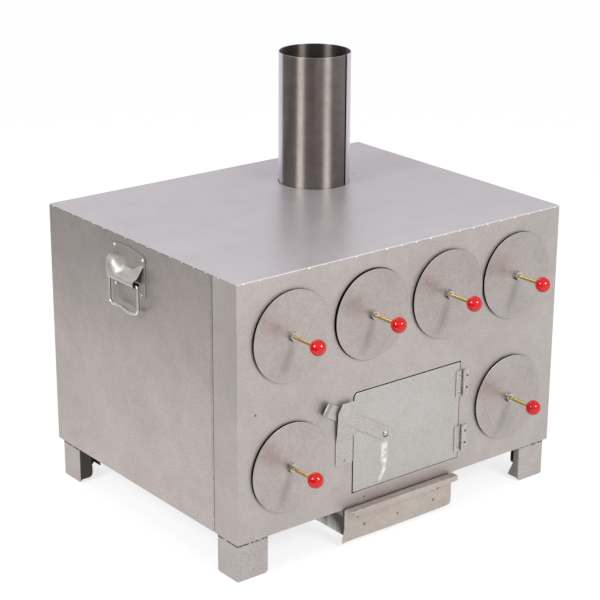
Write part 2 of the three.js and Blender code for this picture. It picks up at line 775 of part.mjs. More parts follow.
function handlePlate() {
  const half = plateWidth / 2;
  const archSteps = 8;
  const arch = Array.from({ length: archSteps + 1 }, (_, step) => {
    const share = step / archSteps;
    const chord = THREE.MathUtils.lerp(plateNearTop, plateFarTop, share);
    return new THREE.Vector2(half * (1 - 2 * share), chord + plateArch * Math.sin(Math.PI * share));
  });
  const cornerY = half - plateCorner;
  const cornerZ = plateBottom + plateCorner;
  const plate = sidePlate(outline([
    ...arc(-cornerY, cornerZ, plateCorner, Math.PI, 1.5 * Math.PI, 4),
    ...arc(cornerY, cornerZ, plateCorner, -Math.PI / 2, 0, 4),
    ...arch,
  ]), gap, gap + plateSheet);
  const rivets = [
    [rivetFromFarSide - half, plateFarTop - rivetFromTop + plateArch / 2],
    [half - rivetFromNearSide, plateNearTop - rivetFromTop],
    [rivetFromFarSide - half, plateBottom + rivetFromBottom],
    [half - 2 * rivetFromNearSide, plateBottom + rivetFromBottom],
  ].map(([y, z]) => {
    const rivet = new THREE.CylinderGeometry(
      rivetRadius * crownShare, rivetRadius, rivetHeight + plateSheet, 8,
    );
    return rivet.rotateZ(-Math.PI / 2).translate(gap + (rivetHeight + plateSheet) / 2, y, z);
  });
  return join(plate, handleHood(), ...rivets);
}

// One section of the hood: out from its root on the plate, and round in the curl. Full is 1 where
// it bulges and 0 where it is flat.
function hoodSection(rootZ, full) {
  const rootX = gap + plateSheet / 2;
  const start = THREE.MathUtils.lerp(slimCurlStart, 0, full);
  const curl = arc(curlX, curlZ, curlRadius, start, curlEnd, curlSteps);
  const runIn = THREE.MathUtils.lerp(slimRunIn, fullRunIn, full);
  const leave = new THREE.Vector2(
    THREE.MathUtils.lerp(rootX + slimLean, curlX + curlRadius, full),
    THREE.MathUtils.lerp(rootZ - slimLeanDrop, rootZ + fullRise, full),
  );
  const upstream = new THREE.Vector2(-Math.sin(start), Math.cos(start));
  const arrive = curl[0].clone().addScaledVector(upstream, runIn);
  const bulge = new THREE.CubicBezierCurve(new THREE.Vector2(rootX, rootZ), leave, arrive, curl[0]);
  return band([...bulge.getPoints(bulgeSteps), ...curl.slice(1)], hoodSheet);
}

// The hood is a row of such sections. It narrows from its root to the curl, and its root dips in
// the finger notch.
function handleHood() {
  const hoodSteps = 16;
  const { smoothstep } = THREE.MathUtils;
  const positions = [];
  const index = [];
  let count = 0;
  for (let place = 0; place <= hoodSteps; place += 1) {
    const share = 2 * place / hoodSteps - 1;
    const y = share * hoodRootHalf;
    const dip = smoothstep(y, ...notchFar) * (1 - smoothstep(y, ...notchNear));
    const full = 1 - smoothstep(y, ...bulgeEnds);
    const section = hoodSection(cabinetHeight - hoodRootDrop - dip * notchDepth, full);
    count = section.length;
    section.forEach((point, order) => {
      const along = Math.min(order, count - 1 - order) / bulgeSteps;
      const half = THREE.MathUtils.lerp(hoodRootHalf, hoodCurlHalf, Math.min(along, 1));
      positions.push(point.x, share * half, point.y);
    });
  }
  const at = (place, order) => place * count + (order % count);
  for (let place = 0; place < hoodSteps; place += 1) {
    for (let order = 0; order < count; order += 1) {
      const [low, next] = [at(place, order), at(place, order + 1)];
      const [far, farNext] = [at(place + 1, order), at(place + 1, order + 1)];
      index.push(low, next, far, next, farNext, far);
    }
  }
  for (let order = 0; order < count / 2 - 1; order += 1) {
    const [a, b, c, d] = [order, order + 1, count - 2 - order, count - 1 - order];
    index.push(a, c, b, a, d, c);
    const [e, f, g, h] = [a, b, c, d].map((corner) => corner + hoodSteps * count);
    index.push(e, f, g, e, g, h);
  }
  const hood = new THREE.BufferGeometry();
  hood.setAttribute('position', new THREE.Float32BufferAttribute(positions, 3));
  hood.setIndex(index);
  return hood;
}

// The bail hangs in the curl: turned-in ends, two legs and a slightly waved lower bar
function bail() {
  const legTop = -bailUpperCorner;
  const legLow = -bailDrop + bailLowerCorner;
  const barHalf = bailHalf - bailLowerCorner;
  const inPlane = (points) => points.map((point) => new THREE.Vector3(0, point.x, point.y));
  const upper = (side) => arc(
    side * (bailHalf - bailUpperCorner), legTop, bailUpperCorner,
    Math.PI / 2, side > 0 ? 0 : Math.PI, 4,
  );
  const lower = (side) => arc(
    side * barHalf, legLow, bailLowerCorner,
    side > 0 ? 0 : Math.PI, side > 0 ? -Math.PI / 2 : 1.5 * Math.PI, 5,
  );
  const bar = Array.from({ length: 7 }, (_, step) => {
    const share = (step + 1) / 8;
    const wave = bailWave * Math.sin(2 * Math.PI * share);
    return new THREE.Vector2(barHalf * (1 - 2 * share), -bailDrop - wave);
  });
  const route = [
    new THREE.Vector2(bailEndHalf, 0), ...upper(1), ...lower(1), ...bar,
    ...lower(-1).reverse(), ...upper(-1).reverse(), new THREE.Vector2(-bailEndHalf, 0),
  ];
  const path = new THREE.CatmullRomCurve3(inPlane(route), false, 'centripetal');
  const section = outline(circle(0, 0, wireRadius, wireSides));
  return new THREE.ExtrudeGeometry(section, { steps: wireSteps, extrudePath: path, bevelEnabled: false });
}

function handle(sideName, x, quarterTurns) {
  const wire = piece(`bail_${sideName}`, bail(), finishes.zincSteel);
  wire.position.set(bailReach, 0, bailZ);
  const plate = piece(`handle_plate_${sideName}`, handlePlate(), finishes.texturedSteel);
  const group = groupAt(x, handleFromFront, 0, [plate, wire]);
  group.rotation.z = quarterTurns * Math.PI / 2;
  return group;
}

// The whole cabinet
function cabinet() {
  const rightSide = piece('right_side_panel', sidePanel(-1), finishes.texturedSteel);
  rightSide.position.x = cabinetWidth;
  const flue = piece('flue_pipe', fluePipe(), finishes.flueSteel);
  flue.position.set(cabinetWidth - flueFromRight, cabinetDepth - flueFromBack, 0);
  return [
    piece('front_panel', frontPanel(), finishes.texturedSteel),
    piece('top_panel', topPanel(), finishes.satinSteel),
    piece('left_side_panel', sidePanel(1), finishes.texturedSteel),
    rightSide,
    piece('back_panel', backPanel(), finishes.texturedSteel),
    piece('bottom_panel', bottomPanel(), finishes.innerSteel),
    flue,
  ];
}

function legs() {
  const right = cabinetWidth - rightLegInset;
  const rear = cabinetDepth - rearLegInset;
  const corners = [
    ['front_left', 0, 0, 1, 1], ['front_right', right, 0, -1, 1],
    ['rear_left', 0, rear, 1, -1], ['rear_right', right, rear, -1, -1],
  ];
  return corners.map(([name, x, y, toRight, toBack]) => {
    const mesh = piece(`leg_${name}`, leg(toRight, toBack), finishes.texturedSteel);
    mesh.position.set(x, y, 0);
    return mesh;
  });
}

function tubes() {
  return holes.map(([x, z], place) => {
    const mesh = piece(`roasting_tube_${place + 1}`, roastingTube(), finishes.innerSteel);
    mesh.position.set(x, 0, z);
    return mesh;
  });
}

function ashRails() {
  return [['left', ashLeft - runnerWidth - railPlay, 1], ['right', ashRight + runnerWidth + railPlay, -1]]
    .map(([name, x, inwards]) => {
      const mesh = piece(`tray_rail_${name}`, trayRail(inwards), finishes.innerSteel);
      mesh.position.x = x;
      return mesh;
    });
}

function latch() {
  const arm = piece('latch_arm', latchArm(), finishes.zincSteel);
  arm.rotation.y = Math.PI + armAngle;
  const keeper = piece('latch_keeper', latchKeeper(), finishes.zincSteel);
  keeper.position.x = openingLeft - gap - keeperWidth - pivotX;
  return groupAt(pivotX, 0, pivotZ, [arm, piece('latch_bolt', latchBolt(), finishes.zincSteel), keeper]);
}

const frontReach = knobReach + knobRadius;
const roaster = groupAt(-cabinetWidth / 2, (frontReach - cabinetDepth) / 2, legHeight, [
  ...cabinet(),
  ...legs(),
  ...tubes(),
  ...holes.map(([x, z], place) => drawer(place + 1, x, z)),
  piece('fire_box', fireBox(), finishes.innerSteel),
  piece('fire_grate', fireGrate(), finishes.castIron),
  piece('ash_tray', ashTray(), finishes.texturedSteel),
  ...ashRails(),
  piece('fire_door', fireDoor(), finishes.texturedSteel),
  hinge('upper', doorTop - upperHingeDrop - hingeLength),
  hinge('lower', doorBottom + lowerHingeRise),
  latch(),
  handle('left', 0, 2),
  handle('right', cabinetWidth, 0),
]);

export default new THREE.Group().add(roaster);
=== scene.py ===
"""Sweet potato roaster: a sheet-steel cabinet on four legs, with six drawers on rods and red ball knobs,
a fire door with a lift latch, an ash tray, a flue pipe and two drop handles.
Sizes are in millimetres and are made metres where a mesh is finished."""
import math

import bmesh
import bpy
from mathutils import Matrix, Vector
from mathutils.geometry import tessellate_polygon


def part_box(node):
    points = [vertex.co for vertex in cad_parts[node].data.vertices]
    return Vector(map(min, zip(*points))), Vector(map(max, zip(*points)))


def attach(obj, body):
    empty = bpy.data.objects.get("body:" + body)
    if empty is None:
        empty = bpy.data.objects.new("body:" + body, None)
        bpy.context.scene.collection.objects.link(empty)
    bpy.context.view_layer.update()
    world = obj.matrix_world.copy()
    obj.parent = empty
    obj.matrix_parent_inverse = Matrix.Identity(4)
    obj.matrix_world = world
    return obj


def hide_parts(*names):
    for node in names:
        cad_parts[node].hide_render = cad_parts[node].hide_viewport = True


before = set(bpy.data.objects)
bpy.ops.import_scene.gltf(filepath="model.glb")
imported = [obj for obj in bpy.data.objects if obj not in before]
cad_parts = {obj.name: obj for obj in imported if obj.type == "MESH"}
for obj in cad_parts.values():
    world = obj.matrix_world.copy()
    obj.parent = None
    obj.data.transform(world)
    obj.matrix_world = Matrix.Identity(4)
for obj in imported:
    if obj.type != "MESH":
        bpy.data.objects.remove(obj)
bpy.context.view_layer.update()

# Camera
# It stands to the left of the front and looks a little down, through a long lens.
METRE = 0.001  # metres in a millimetre
camera_place = Vector((-1909.6, -2359.0, 1420.5)) * METRE
camera_turn = math.radians(38.378)  # from straight at the front
camera_fall = math.radians(19.566)  # below the horizontal
camera_roll = math.radians(0.3285)
camera_lens = 110.33

forward = Vector((
    math.sin(camera_turn) * math.cos(camera_fall),
    math.cos(camera_turn) * math.cos(camera_fall),
    -math.sin(camera_fall),
))
level_right = forward.cross(Vector((0, 0, 1))).normalized()
level_up = level_right.cross(forward)
picture_right = level_right * math.cos(camera_roll) + level_up * math.sin(camera_roll)
picture_up = level_up * math.cos(camera_roll) - level_right * math.sin(camera_roll)
camera = bpy.data.objects.new("camera", bpy.data.cameras.new("camera"))
bpy.context.scene.collection.objects.link(camera)
camera.matrix_world = Matrix((picture_right, picture_up, -forward)).transposed().to_4x4()
camera.location = camera_place
camera.data.lens = camera_lens
bpy.context.scene.camera = camera

# Floor and studio light
# A wide pale floor that glows a little, as a lit table does, and two square soft boxes, one to the
# left of the cabinet and one to the right of its front, which show as the two lights in each knob.
floor_reach = 12000
floor_colour = (0.27, 0.27, 0.275)
floor_glow = 0.76  # of a white sheet
floor_roughness = 0.9
room_colour = (0.95, 0.95, 1.0)
room_light = 0.75
soft_box_side = 720
soft_box_powers = {"left": 27, "right": 27}
soft_box_distance = 2300
soft_box_target = Vector((0, 0, 250))
soft_box_directions = {"left": Vector((-0.844, -0.024, 0.536)), "right": Vector((0.126, -0.834, 0.536))}
flag_place = -1050
flag_front = -1500
flag_back = 3500
flag_height = 680
flag_colour = (0.12, 0.12, 0.12)


def node_in(tree, kind, inputs=(), **settings):
    """A node with its settings, and its inputs linked or set, by name or by place."""
    node = tree.nodes.new(kind)
    for name, value in settings.items():
        setattr(node, name, value)
    for name, value in dict(inputs).items():
        if isinstance(value, bpy.types.NodeSocket):
            tree.links.new(value, node.inputs[name])
        else:
            node.inputs[name].default_value = value
    return node


def studio_sheet(name, material, colour, roughness, corners):
    """A flat sheet in the studio through four corners in millimetres, and its shader."""
    finish = bpy.data.materials.new(material)
    finish.use_nodes = True
    shader = finish.node_tree.nodes["Principled BSDF"]
    shader.inputs["Base Color"].default_value = (*colour, 1)
    shader.inputs["Roughness"].default_value = roughness
    mesh = bpy.data.meshes.new(name)
    mesh.from_pydata([[place * METRE for place in corner] for corner in corners], [], [(0, 1, 2, 3)])
    mesh.materials.append(finish)
    placed = bpy.data.objects.new(name, mesh)
    bpy.context.scene.collection.objects.link(placed)
    return placed, shader


floor, floor_shader = studio_sheet("floor", "floor_paper", floor_colour, floor_roughness, [
    (side * floor_reach, end * floor_reach, 0) for side, end in ((-1, -1), (1, -1), (1, 1), (-1, 1))
])
floor_shader.inputs["Emission Color"].default_value = (1, 1, 1, 1)
floor_shader.inputs["Emission Strength"].default_value = floor_glow

for side, direction in soft_box_directions.items():
    light = bpy.data.lights.new(f"soft_box_{side}", "AREA")
    light.shape = "SQUARE"
    light.size = soft_box_side * METRE
    light.energy = soft_box_powers[side]
    soft_box = bpy.data.objects.new(f"soft_box_{side}", light)
    bpy.context.scene.collection.objects.link(soft_box)
    soft_box.matrix_world = direction.to_track_quat("Z", "Y").to_matrix().to_4x4()
    soft_box.location = (soft_box_target + direction * soft_box_distance) * METRE

# A dark flag stands off to the left, where only gloss sees it, and takes the shine off the side.
flag, _ = studio_sheet("flag", "flag_cloth", flag_colour, 1, [
    (flag_place, flag_front, 0), (flag_place, flag_back, 0),
    (flag_place, flag_back, flag_height), (flag_place, flag_front, flag_height),
])
flag.visible_camera = False
flag.visible_diffuse = False
flag.visible_shadow = False

room = bpy.data.worlds.new("room")
room.use_nodes = True
room.node_tree.nodes["Background"].inputs["Color"].default_value = (*room_colour, 1)
room.node_tree.nodes["Background"].inputs["Strength"].default_value = room_light
bpy.context.scene.world = room
bpy.context.scene.view_settings.view_transform = "Standard"

# Front panel
# One 1.5 mm steel sheet, cut for the six roasting tubes and the fire door, with its two ends folded
# back as returns. Its silver finish is finely grained and rubbed at the edges, with painted shade round the
# holes and in a strip below the door.
sheet = 1.5
seat_gap = 0.3  # between pieces that touch
soft_edge = 0.3  # rounding of a cut edge
bend_slices = 6  # flats that make up a bend
cut_margin = 1e-4  # how near to a cut a vertex counts as on it
bend_margin = 1e-3  # how far past a flat's or a bend's end a vertex still belongs to it
front_bend = 2.5  # outer radius of the front's two folds
door_side_gap = 2.2
door_top_gap = 1.6
door_hinge_gap = 0.35
door_foot_gap = 0.3
door_corner = 10  # radius of the opening's and the door's upper left corner
small_corner = 1.5
hole_sides = 96
rub_reach = 1.4  # from an edge, over which it is rubbed bright
cloud_spread = (0.7, 1.3)  # of the clouds' noise, from the darker colour to the paler
grain_spread = (0.38, 0.62)  # of the grain's
rub_onset = (0.995, 0.93)  # how alike a point's own and its softened normal are, up to fully rubbed
gap_shade_widths = (3.8, 5.6, 3.8, 4, 4.4, 3.8)  # painted shade seen in the gap behind each disc, out from the edge of each hole
gap_shade_fade = (-1.2, 0)  # from that width, over which the painted shade ends
below_door_shade_rise = (12, 26)  # from the front's foot, over which the painted shade strip below the door ends
below_door_shade_left = (-50, 10)  # from the door's left edge, over which it begins
below_door_shade_right = (-20, 30)  # from the door's right edge, over which it ends


def shade(red, green, blue):
    """A colour as a screen shows it, from 0 to 255, made linear."""
    shares = [value / 255 for value in (red, green, blue)]
    return (*[((share + 0.055) / 1.055) ** 2.4 for share in shares], 1)


def blended(tree, share, one, other):
    """A colour between two, by a share."""
    return node_in(tree, "ShaderNodeMix", {0: share, 6: one, 7: other}, data_type="RGBA").outputs[2]


def ranged(tree, value, low, high, to_low, to_high):
    """A value carried from one range to another and kept inside it."""
    sizes = {"Value": value, "From Min": low, "From Max": high, "To Min": to_low, "To Max": to_high}
    return node_in(tree, "ShaderNodeMapRange", sizes).outputs["Result"]


def faded(tree, place, origin, reach, to_low, to_high):
    """A value that changes along an axis, between two distances in millimetres from an origin."""
    return ranged(tree, place, (origin + reach[0]) * METRE, (origin + reach[1]) * METRE, to_low, to_high)


def maths(tree, operation, *values):
    """The result of one step of arithmetic."""
    return node_in(tree, "ShaderNodeMath", dict(enumerate(values)), operation=operation).outputs[0]


def multiplied(tree, *values):
    """The product of several shares."""
    product = values[0]
    for value in values[1:]:
        product = maths(tree, "MULTIPLY", product, value)
    return product


def noise(tree, place, scale, detail, roughness=0.5, distortion=0):
    """Noise from 0 to 1 at a place."""
    sizes = {"Vector": place, "Scale": scale, "Detail": detail, "Roughness": roughness,
             "Distortion": distortion}
    return node_in(tree, "ShaderNodeTexNoise", sizes).outputs["Fac"]


def surface(tree, kind="Object"):
    """Where a point lies on the roaster or, for its Normal, which way it faces."""
    return node_in(tree, "ShaderNodeTexCoord").outputs[kind]


def axes_of(tree, vector):
    """The x, y and z of a vector."""
    return node_in(tree, "ShaderNodeSeparateXYZ", {0: vector}).outputs


def steel_finish(name, pale, dark, metallic, roughness, grain, lift=0.12, cloud=5, streaks=None,
                 worn=(214, 209, 206), wear=0.6, grain_share=0.5):
    """Steel sheet: slow clouds and a fine grain in its colour and roughness, the grain raised a
    little, and edges rubbed to a paler metal. Streaks, where given, draw the clouds out."""
    finish = bpy.data.materials.new(name)
    finish.use_nodes = True
    tree = finish.node_tree
    place = surface(tree)
    drawn = place
    if streaks:
        drawn = node_in(tree, "ShaderNodeMapping", {"Vector": place, "Scale": streaks}).outputs["Vector"]
    clouds = noise(tree, drawn, cloud, detail=5, roughness=0.6, distortion=0.3)
    patches = noise(tree, place, cloud * 6, detail=6, roughness=0.7)
    slow = ranged(tree, maths(tree, "ADD", clouds, patches), *cloud_spread, 0, 1)
    fine = ranged(tree, noise(tree, place, grain, detail=3, roughness=0.65), *grain_spread, 0, 1)
    shares = [node_in(tree, "ShaderNodeMix", {0: share, 2: slow, 3: fine}, data_type="FLOAT").outputs[0]
              for share in (grain_share, 0.4)]
    colour = blended(tree, shares[0], shade(*dark), shade(*pale))
    soft_normal = node_in(tree, "ShaderNodeBevel", {"Radius": rub_reach * METRE},
                          samples=4).outputs["Normal"]
    true_normal = node_in(tree, "ShaderNodeNewGeometry").outputs["Normal"]
    alike = node_in(tree, "ShaderNodeVectorMath", {0: soft_normal, 1: true_normal},
                    operation="DOT_PRODUCT").outputs["Value"]
    edge = ranged(tree, alike, *rub_onset, 0, wear)
    rubbed = multiplied(tree, edge, ranged(tree, patches, 0.35, 0.6, 0.3, 1))
    colour = blended(tree, rubbed, colour, shade(*worn))
    shader = tree.nodes["Principled BSDF"]
    tree.links.new(colour, shader.inputs["Base Color"])
    shader.inputs["Metallic"].default_value = metallic
    tree.links.new(ranged(tree, shares[1], 0, 1, roughness - 0.06, roughness + 0.07),
                   shader.inputs["Roughness"])
    raised = node_in(tree, "ShaderNodeBump", {"Height": fine, "Strength": 0.6, "Distance": lift * METRE})
    tree.links.new(raised.outputs["Normal"], shader.inputs["Normal"])
    return finish


def stained(finish, share, colour):
    """Lays a second colour over a finish by a share."""
    tree = finish.node_tree
    target = tree.nodes["Principled BSDF"].inputs["Base Color"]
    tree.links.new(blended(tree, share, target.links[0].from_socket, colour), target)


def extent(node):
    """A CAD node's lowest and highest corners, in millimetres."""
    low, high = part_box(node)
    return low / METRE, high / METRE


def rounded(corners, steps=6):
    """The outline through anticlockwise (x, y, radius) corners, with an arc at each."""
    outline = []
    for place, (x, y, radius) in enumerate(corners):
        here = Vector((x, y))
        back = (Vector(corners[place - 1][:2]) - here).normalized()
        on = (Vector(corners[(place + 1) % len(corners)][:2]) - here).normalized()
        half = back.angle(on) / 2
        if not radius:
            outline.append(here)
            continue
        centre = here + (back + on).normalized() * radius / math.sin(half)
        spoke = here + back * radius / math.tan(half) - centre
        turn = math.copysign(math.pi - 2 * half, on.cross(back))
        outline += [centre + Matrix.Rotation(turn * step / steps, 2) @ spoke
                    for step in range(steps + 1)]
    return outline


def box_outline(left, foot, right, top, corner):
    """The outline of a rectangle whose four corners have the same radius."""
    return rounded([(left, foot, corner), (right, foot, corner), (right, top, corner), (left, top, corner)])


def circle(x, y, radius, sides=hole_sides):
    """Points round a circle, anticlockwise."""
    turns = [2 * math.pi * side / sides for side in range(sides)]
    return [Vector((x + radius * math.cos(turn), y + radius * math.sin(turn))) for turn in turns]


def moved_in(outline, distance):
    """An outline moved to its left by a distance."""
    moved = []
    for place, point in enumerate(outline):
        arrive = (point - outline[place - 1]).normalized()
        leave = (outline[(place + 1) % len(outline)] - point).normalized()
        across = Vector((-arrive.y - leave.y, arrive.x + leave.x))
        moved.append(point + across * distance / (1 + arrive.dot(leave)))
    return moved


def join_loops(shape, loops):
    """Quads between each loop of vertices and the next."""
    for low, high in zip(loops, loops[1:]):
        for place in range(len(low)):
            shape.faces.new((low[place - 1], low[place], high[place], high[place - 1]))


def fill(shape, loops):
    """A flat face inside the first loop of vertices, less the loops in it."""
    corners = [vertex for loop in loops for vertex in loop]
    for triangle in tessellate_polygon([[vertex.co for vertex in loop] for loop in loops]):
        shape.faces.new([corners[corner] for corner in triangle])


def blank(outer, thickness, holes=(), edge=soft_edge, shape=None):
    """A flat sheet from z = 0 up to its thickness, its edges softened all round."""
    shape = shape or bmesh.new()
    profile = ((edge, 0), (0, edge), (0, thickness - edge), (edge, thickness))
    stacks = []
    for outline in (outer, *[hole[::-1] for hole in holes]):
        stacks.append([[shape.verts.new((*point, height)) for point in moved_in(outline, inset)]
                       for inset, height in profile])
        join_loops(shape, stacks[-1])
    for end in (0, -1):
        fill(shape, [stack[end] for stack in stacks])
    return shape


def run_length(steps):
    """How much sheet a run of flats and bends takes, on the face that it is measured on."""
    return sum(math.radians(abs(step[0])) * step[1] if isinstance(step, tuple) else step for step in steps)


def fold(shape, steps, start, heading, place):
    """Folds a blank. Its x follows flats, given as lengths, and bends to the left or right, given as
    degrees and the radius of its z = 0 face. Place takes the folded x and y and the blank's y."""
    stretches = []
    along = 0
    point = Vector(start)
    turned_to = math.radians(heading)
    for step in steps:
        bend, radius = (math.radians(step[0]), step[1]) if isinstance(step, tuple) else (0, 0)
        length = abs(bend) * radius if bend else step
        stretches.append((along, length, point.copy(), turned_to, bend, radius))
        if bend:
            for cut in range(bend_slices + 1):
                geometry = [*shape.verts, *shape.edges, *shape.faces]
                bmesh.ops.bisect_plane(shape, geom=geometry, dist=cut_margin, plane_no=(1, 0, 0),
                                       plane_co=(along + length * cut / bend_slices, 0, 0))
            side = Vector((-math.sin(turned_to), math.cos(turned_to))) * math.copysign(radius, bend)
            point += side - Matrix.Rotation(bend, 2) @ side
            turned_to += bend
        else:
            point += Vector((math.cos(turned_to), math.sin(turned_to))) * length
        along += length
    for vertex in shape.verts:
        x, y, depth = vertex.co
        for begin, length, point, turn, bend, radius in stretches:
            if x <= begin + length + bend_margin:
                break
        left = Vector((-math.sin(turn), math.cos(turn)))
        if bend:
            reach = math.copysign(radius, bend)
            angle = bend * (x - begin) / length
            folded = point + left * reach + Matrix.Rotation(angle, 2) @ (left * (depth - reach))
        else:
            folded = point + Vector((math.cos(turn), math.sin(turn))) * (x - begin) + left * depth
        vertex.co = place(folded.x, folded.y, y)
    return shape


def stand(shape, x_to, y_to, depth_to, origin):
    """Turns a flat blank so that its x, its y and its thickness run along three directions."""
    turn = Matrix((x_to, y_to, depth_to)).transposed().to_4x4()
    shape.transform(Matrix.Translation(origin) @ turn)
    return shape


def finished(shape, name, finish, body, nodes, crease=32):
    """Makes a shape a piece that rides on its body, replaces its CAD nodes and has its finish."""
    bmesh.ops.recalc_face_normals(shape, faces=shape.faces)
    shape.transform(Matrix.Scale(METRE, 4))
    mesh = bpy.data.meshes.new(name)
    shape.to_mesh(mesh)
    shape.free()
    mesh.shade_smooth()
    mesh.set_sharp_from_angle(angle=math.radians(crease))
    return as_piece(mesh, name, finish, body, nodes)


def as_piece(mesh, name, finish, body, nodes):
    """A finished mesh as a piece in the frame."""
    mesh.materials.clear()
    mesh.materials.append(finish)
    piece = bpy.data.objects.new(name, mesh)
    bpy.context.scene.collection.objects.link(piece)
    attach(piece, body)
    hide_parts(*nodes)
    return piece


silver_sheet = steel_finish("silver_sheet", pale=(187, 179, 175), dark=(155, 147, 143), metallic=0.7,
                            roughness=0.46, grain=460)
front_low, front_high = extent("front_panel")
door_low, door_high = extent("fire_door")
hole_nodes = [f"roasting_tube_{place}" for place in range(1, 7)]
holes = []
for node in hole_nodes:
    low, high = extent(node)
    holes.append(((low.x + high.x) / 2, (low.z + high.z) / 2, (high.x - low.x) / 2))

silver_tree = silver_sheet.node_tree
# Painted shade: dark round each hole, seen through the gap behind its disc, and on the door's rim.
gap_shade = shade(30, 26, 24)
for (x, z, radius), gap_shade_width in zip(holes, gap_shade_widths):
    from_hole = node_in(silver_tree, "ShaderNodeVectorMath", {
        0: surface(silver_tree), 1: (x * METRE, front_low.y * METRE, z * METRE),
    }, operation="DISTANCE").outputs["Value"]
    stained(silver_sheet, faded(silver_tree, from_hole, radius + gap_shade_width, gap_shade_fade, 1, 0), gap_shade)
panel_x, _, panel_z = axes_of(silver_tree, surface(silver_tree))
# Painted shade in a brownish strip below the door, above the tray.
stained(silver_sheet, multiplied(
    silver_tree,
    faded(silver_tree, panel_z, front_low.z, below_door_shade_rise, 0.2, 0),
    faded(silver_tree, panel_x, door_low.x, below_door_shade_left, 0, 1),
    faded(silver_tree, panel_x, door_high.x, below_door_shade_right, 1, 0),
), shade(140, 125, 110))

front_return = front_high.y - front_low.y
front_steps = [
    front_return - front_bend, (90, front_bend), front_high.x - front_low.x - 2 * front_bend,
    (90, front_bend), front_return - front_bend,
]
face_start = run_length(front_steps[:2])  # where the flat front begins on the blank
face_shift = face_start - front_low.x - front_bend
opening = rounded([
    (door_low.x - door_side_gap + face_shift, door_low.z - door_foot_gap, small_corner),
    (door_high.x + door_hinge_gap + face_shift, door_low.z - door_foot_gap, small_corner),
    (door_high.x + door_hinge_gap + face_shift, door_high.z + door_top_gap, small_corner),
    (door_low.x - door_side_gap + face_shift, door_high.z + door_top_gap, door_corner),
])
front_outline = box_outline(0, front_low.z, run_length(front_steps), front_high.z, small_corner)
front_holes = [circle(x + face_shift, z, radius + seat_gap) for x, z, radius in holes]
front = blank(front_outline, sheet, [*front_holes, opening])
fold(front, front_steps, (front_low.x, front_high.y), -90, lambda x, y, z: (x, y, z))
finished(front, "front_sheet", silver_sheet, "housing", ["front_panel"])

# Side panels
# One sheet each. Its front edge is joggled inwards and laps behind the front's return, which leaves
# the dark upright groove that shows on each side. Painted shade darkens the upper part.
joggle_depth = sheet + seat_gap
joggle_angle = math.radians(45)
joggle_inner = 3.4  # radii of its two bends
joggle_outer = 2.6
groove_width = 3.6
groove_shadow = (3.2, 3.9)  # from the front's return, over which the groove's dark ends
upper_shade_heights = (300, 500)  # over which the painted shade sets in
top_joint = 0.5  # under the top sheet, besides the seat gap

side_sheet = steel_finish("side_sheet", pale=(200, 190, 186), dark=(158, 149, 145), metallic=0.8,
                          roughness=0.44, grain=340)
side_tree = side_sheet.node_tree
_, side_y, side_z = axes_of(side_tree, surface(side_tree))
# Painted shade, darker towards the top of the sides.
stained(side_sheet, faded(side_tree, side_z, 0, upper_shade_heights, 0, 0.34), shade(140, 131, 126))
stained(side_sheet, faded(side_tree, side_y, front_high.y, groove_shadow, 1, 0), shade(20, 17, 16))
for side, node in ((1, "left_side_panel"), (-1, "right_side_panel")):
    low, high = extent(node)
    high.z -= top_joint
    outer_x = min(low.x * side, high.x * side)
    lap = front_high.y - low.y + groove_width
    joggle = (joggle_inner + joggle_outer) * math.sin(joggle_angle)
    slant = joggle_depth - (joggle_inner + joggle_outer) * (1 - math.cos(joggle_angle))
    side_steps = [
        lap, (-math.degrees(joggle_angle), joggle_inner), slant / math.sin(joggle_angle),
        (math.degrees(joggle_angle), joggle_outer),
        high.y - low.y - lap - joggle - slant / math.tan(joggle_angle),
    ]
    outline = box_outline(0, low.z, run_length(side_steps), high.z, small_corner)
    wall = fold(blank(outline, sheet), side_steps, (low.y, outer_x + joggle_depth), 0,
                lambda y, x, z, side=side: (x * side, y, z))
    finished(wall, f"{node.split('_')[0]}_sheet", side_sheet, "housing", [node])

# Back, bottom and top sheets
# Flat 1.5 mm sheets. The back has two lap strips inside the walls, the bottom has the ash opening
# under the grate, and the satin top has the flue's hole, painted shade on its cut edges and a painted
# highlight along its front edge.
back_lap = 10
grate_bearing = 10
top_corner = 2
top_edge = 0.25
cut_edge_shade = (-0.7, -0.3)  # from the top's face, over which the painted shade on the cut edge gives way to it
edge_highlight = (-0.7, -0.2)  # over which the painted highlight on the front's cut edge does
edge_highlight_depth = (0.3, 0.8)  # from the front's face, over which the painted highlight ends

east, north, up = Vector((1, 0, 0)), Vector((0, 1, 0)), Vector((0, 0, 1))


def added(shape, other):
    """Adds another closed shape to a shape."""
    mesh = bpy.data.meshes.new("added")
    other.to_mesh(mesh)
    other.free()
    shape.from_mesh(mesh)
    bpy.data.meshes.remove(mesh)
    return shape


back_low, back_high = extent("back_panel")
back_outline = box_outline(back_low.x, back_low.z, back_high.x, back_high.z, small_corner)
back = stand(blank(back_outline, sheet), east, up, north, (0, back_high.y - sheet, 0))
lap_back = back_high.y - sheet
lap_outline = box_outline(lap_back - back_lap, back_low.z + sheet + seat_gap, lap_back, back_high.z, 0)
for side in (-1, 1):
    lap_place = (side * (back_high.x - sheet - seat_gap), 0, 0)
    added(back, stand(blank(lap_outline, sheet), north, up, -east * side, lap_place))
finished(back, "back_sheet", side_sheet, "housing", ["back_panel"])

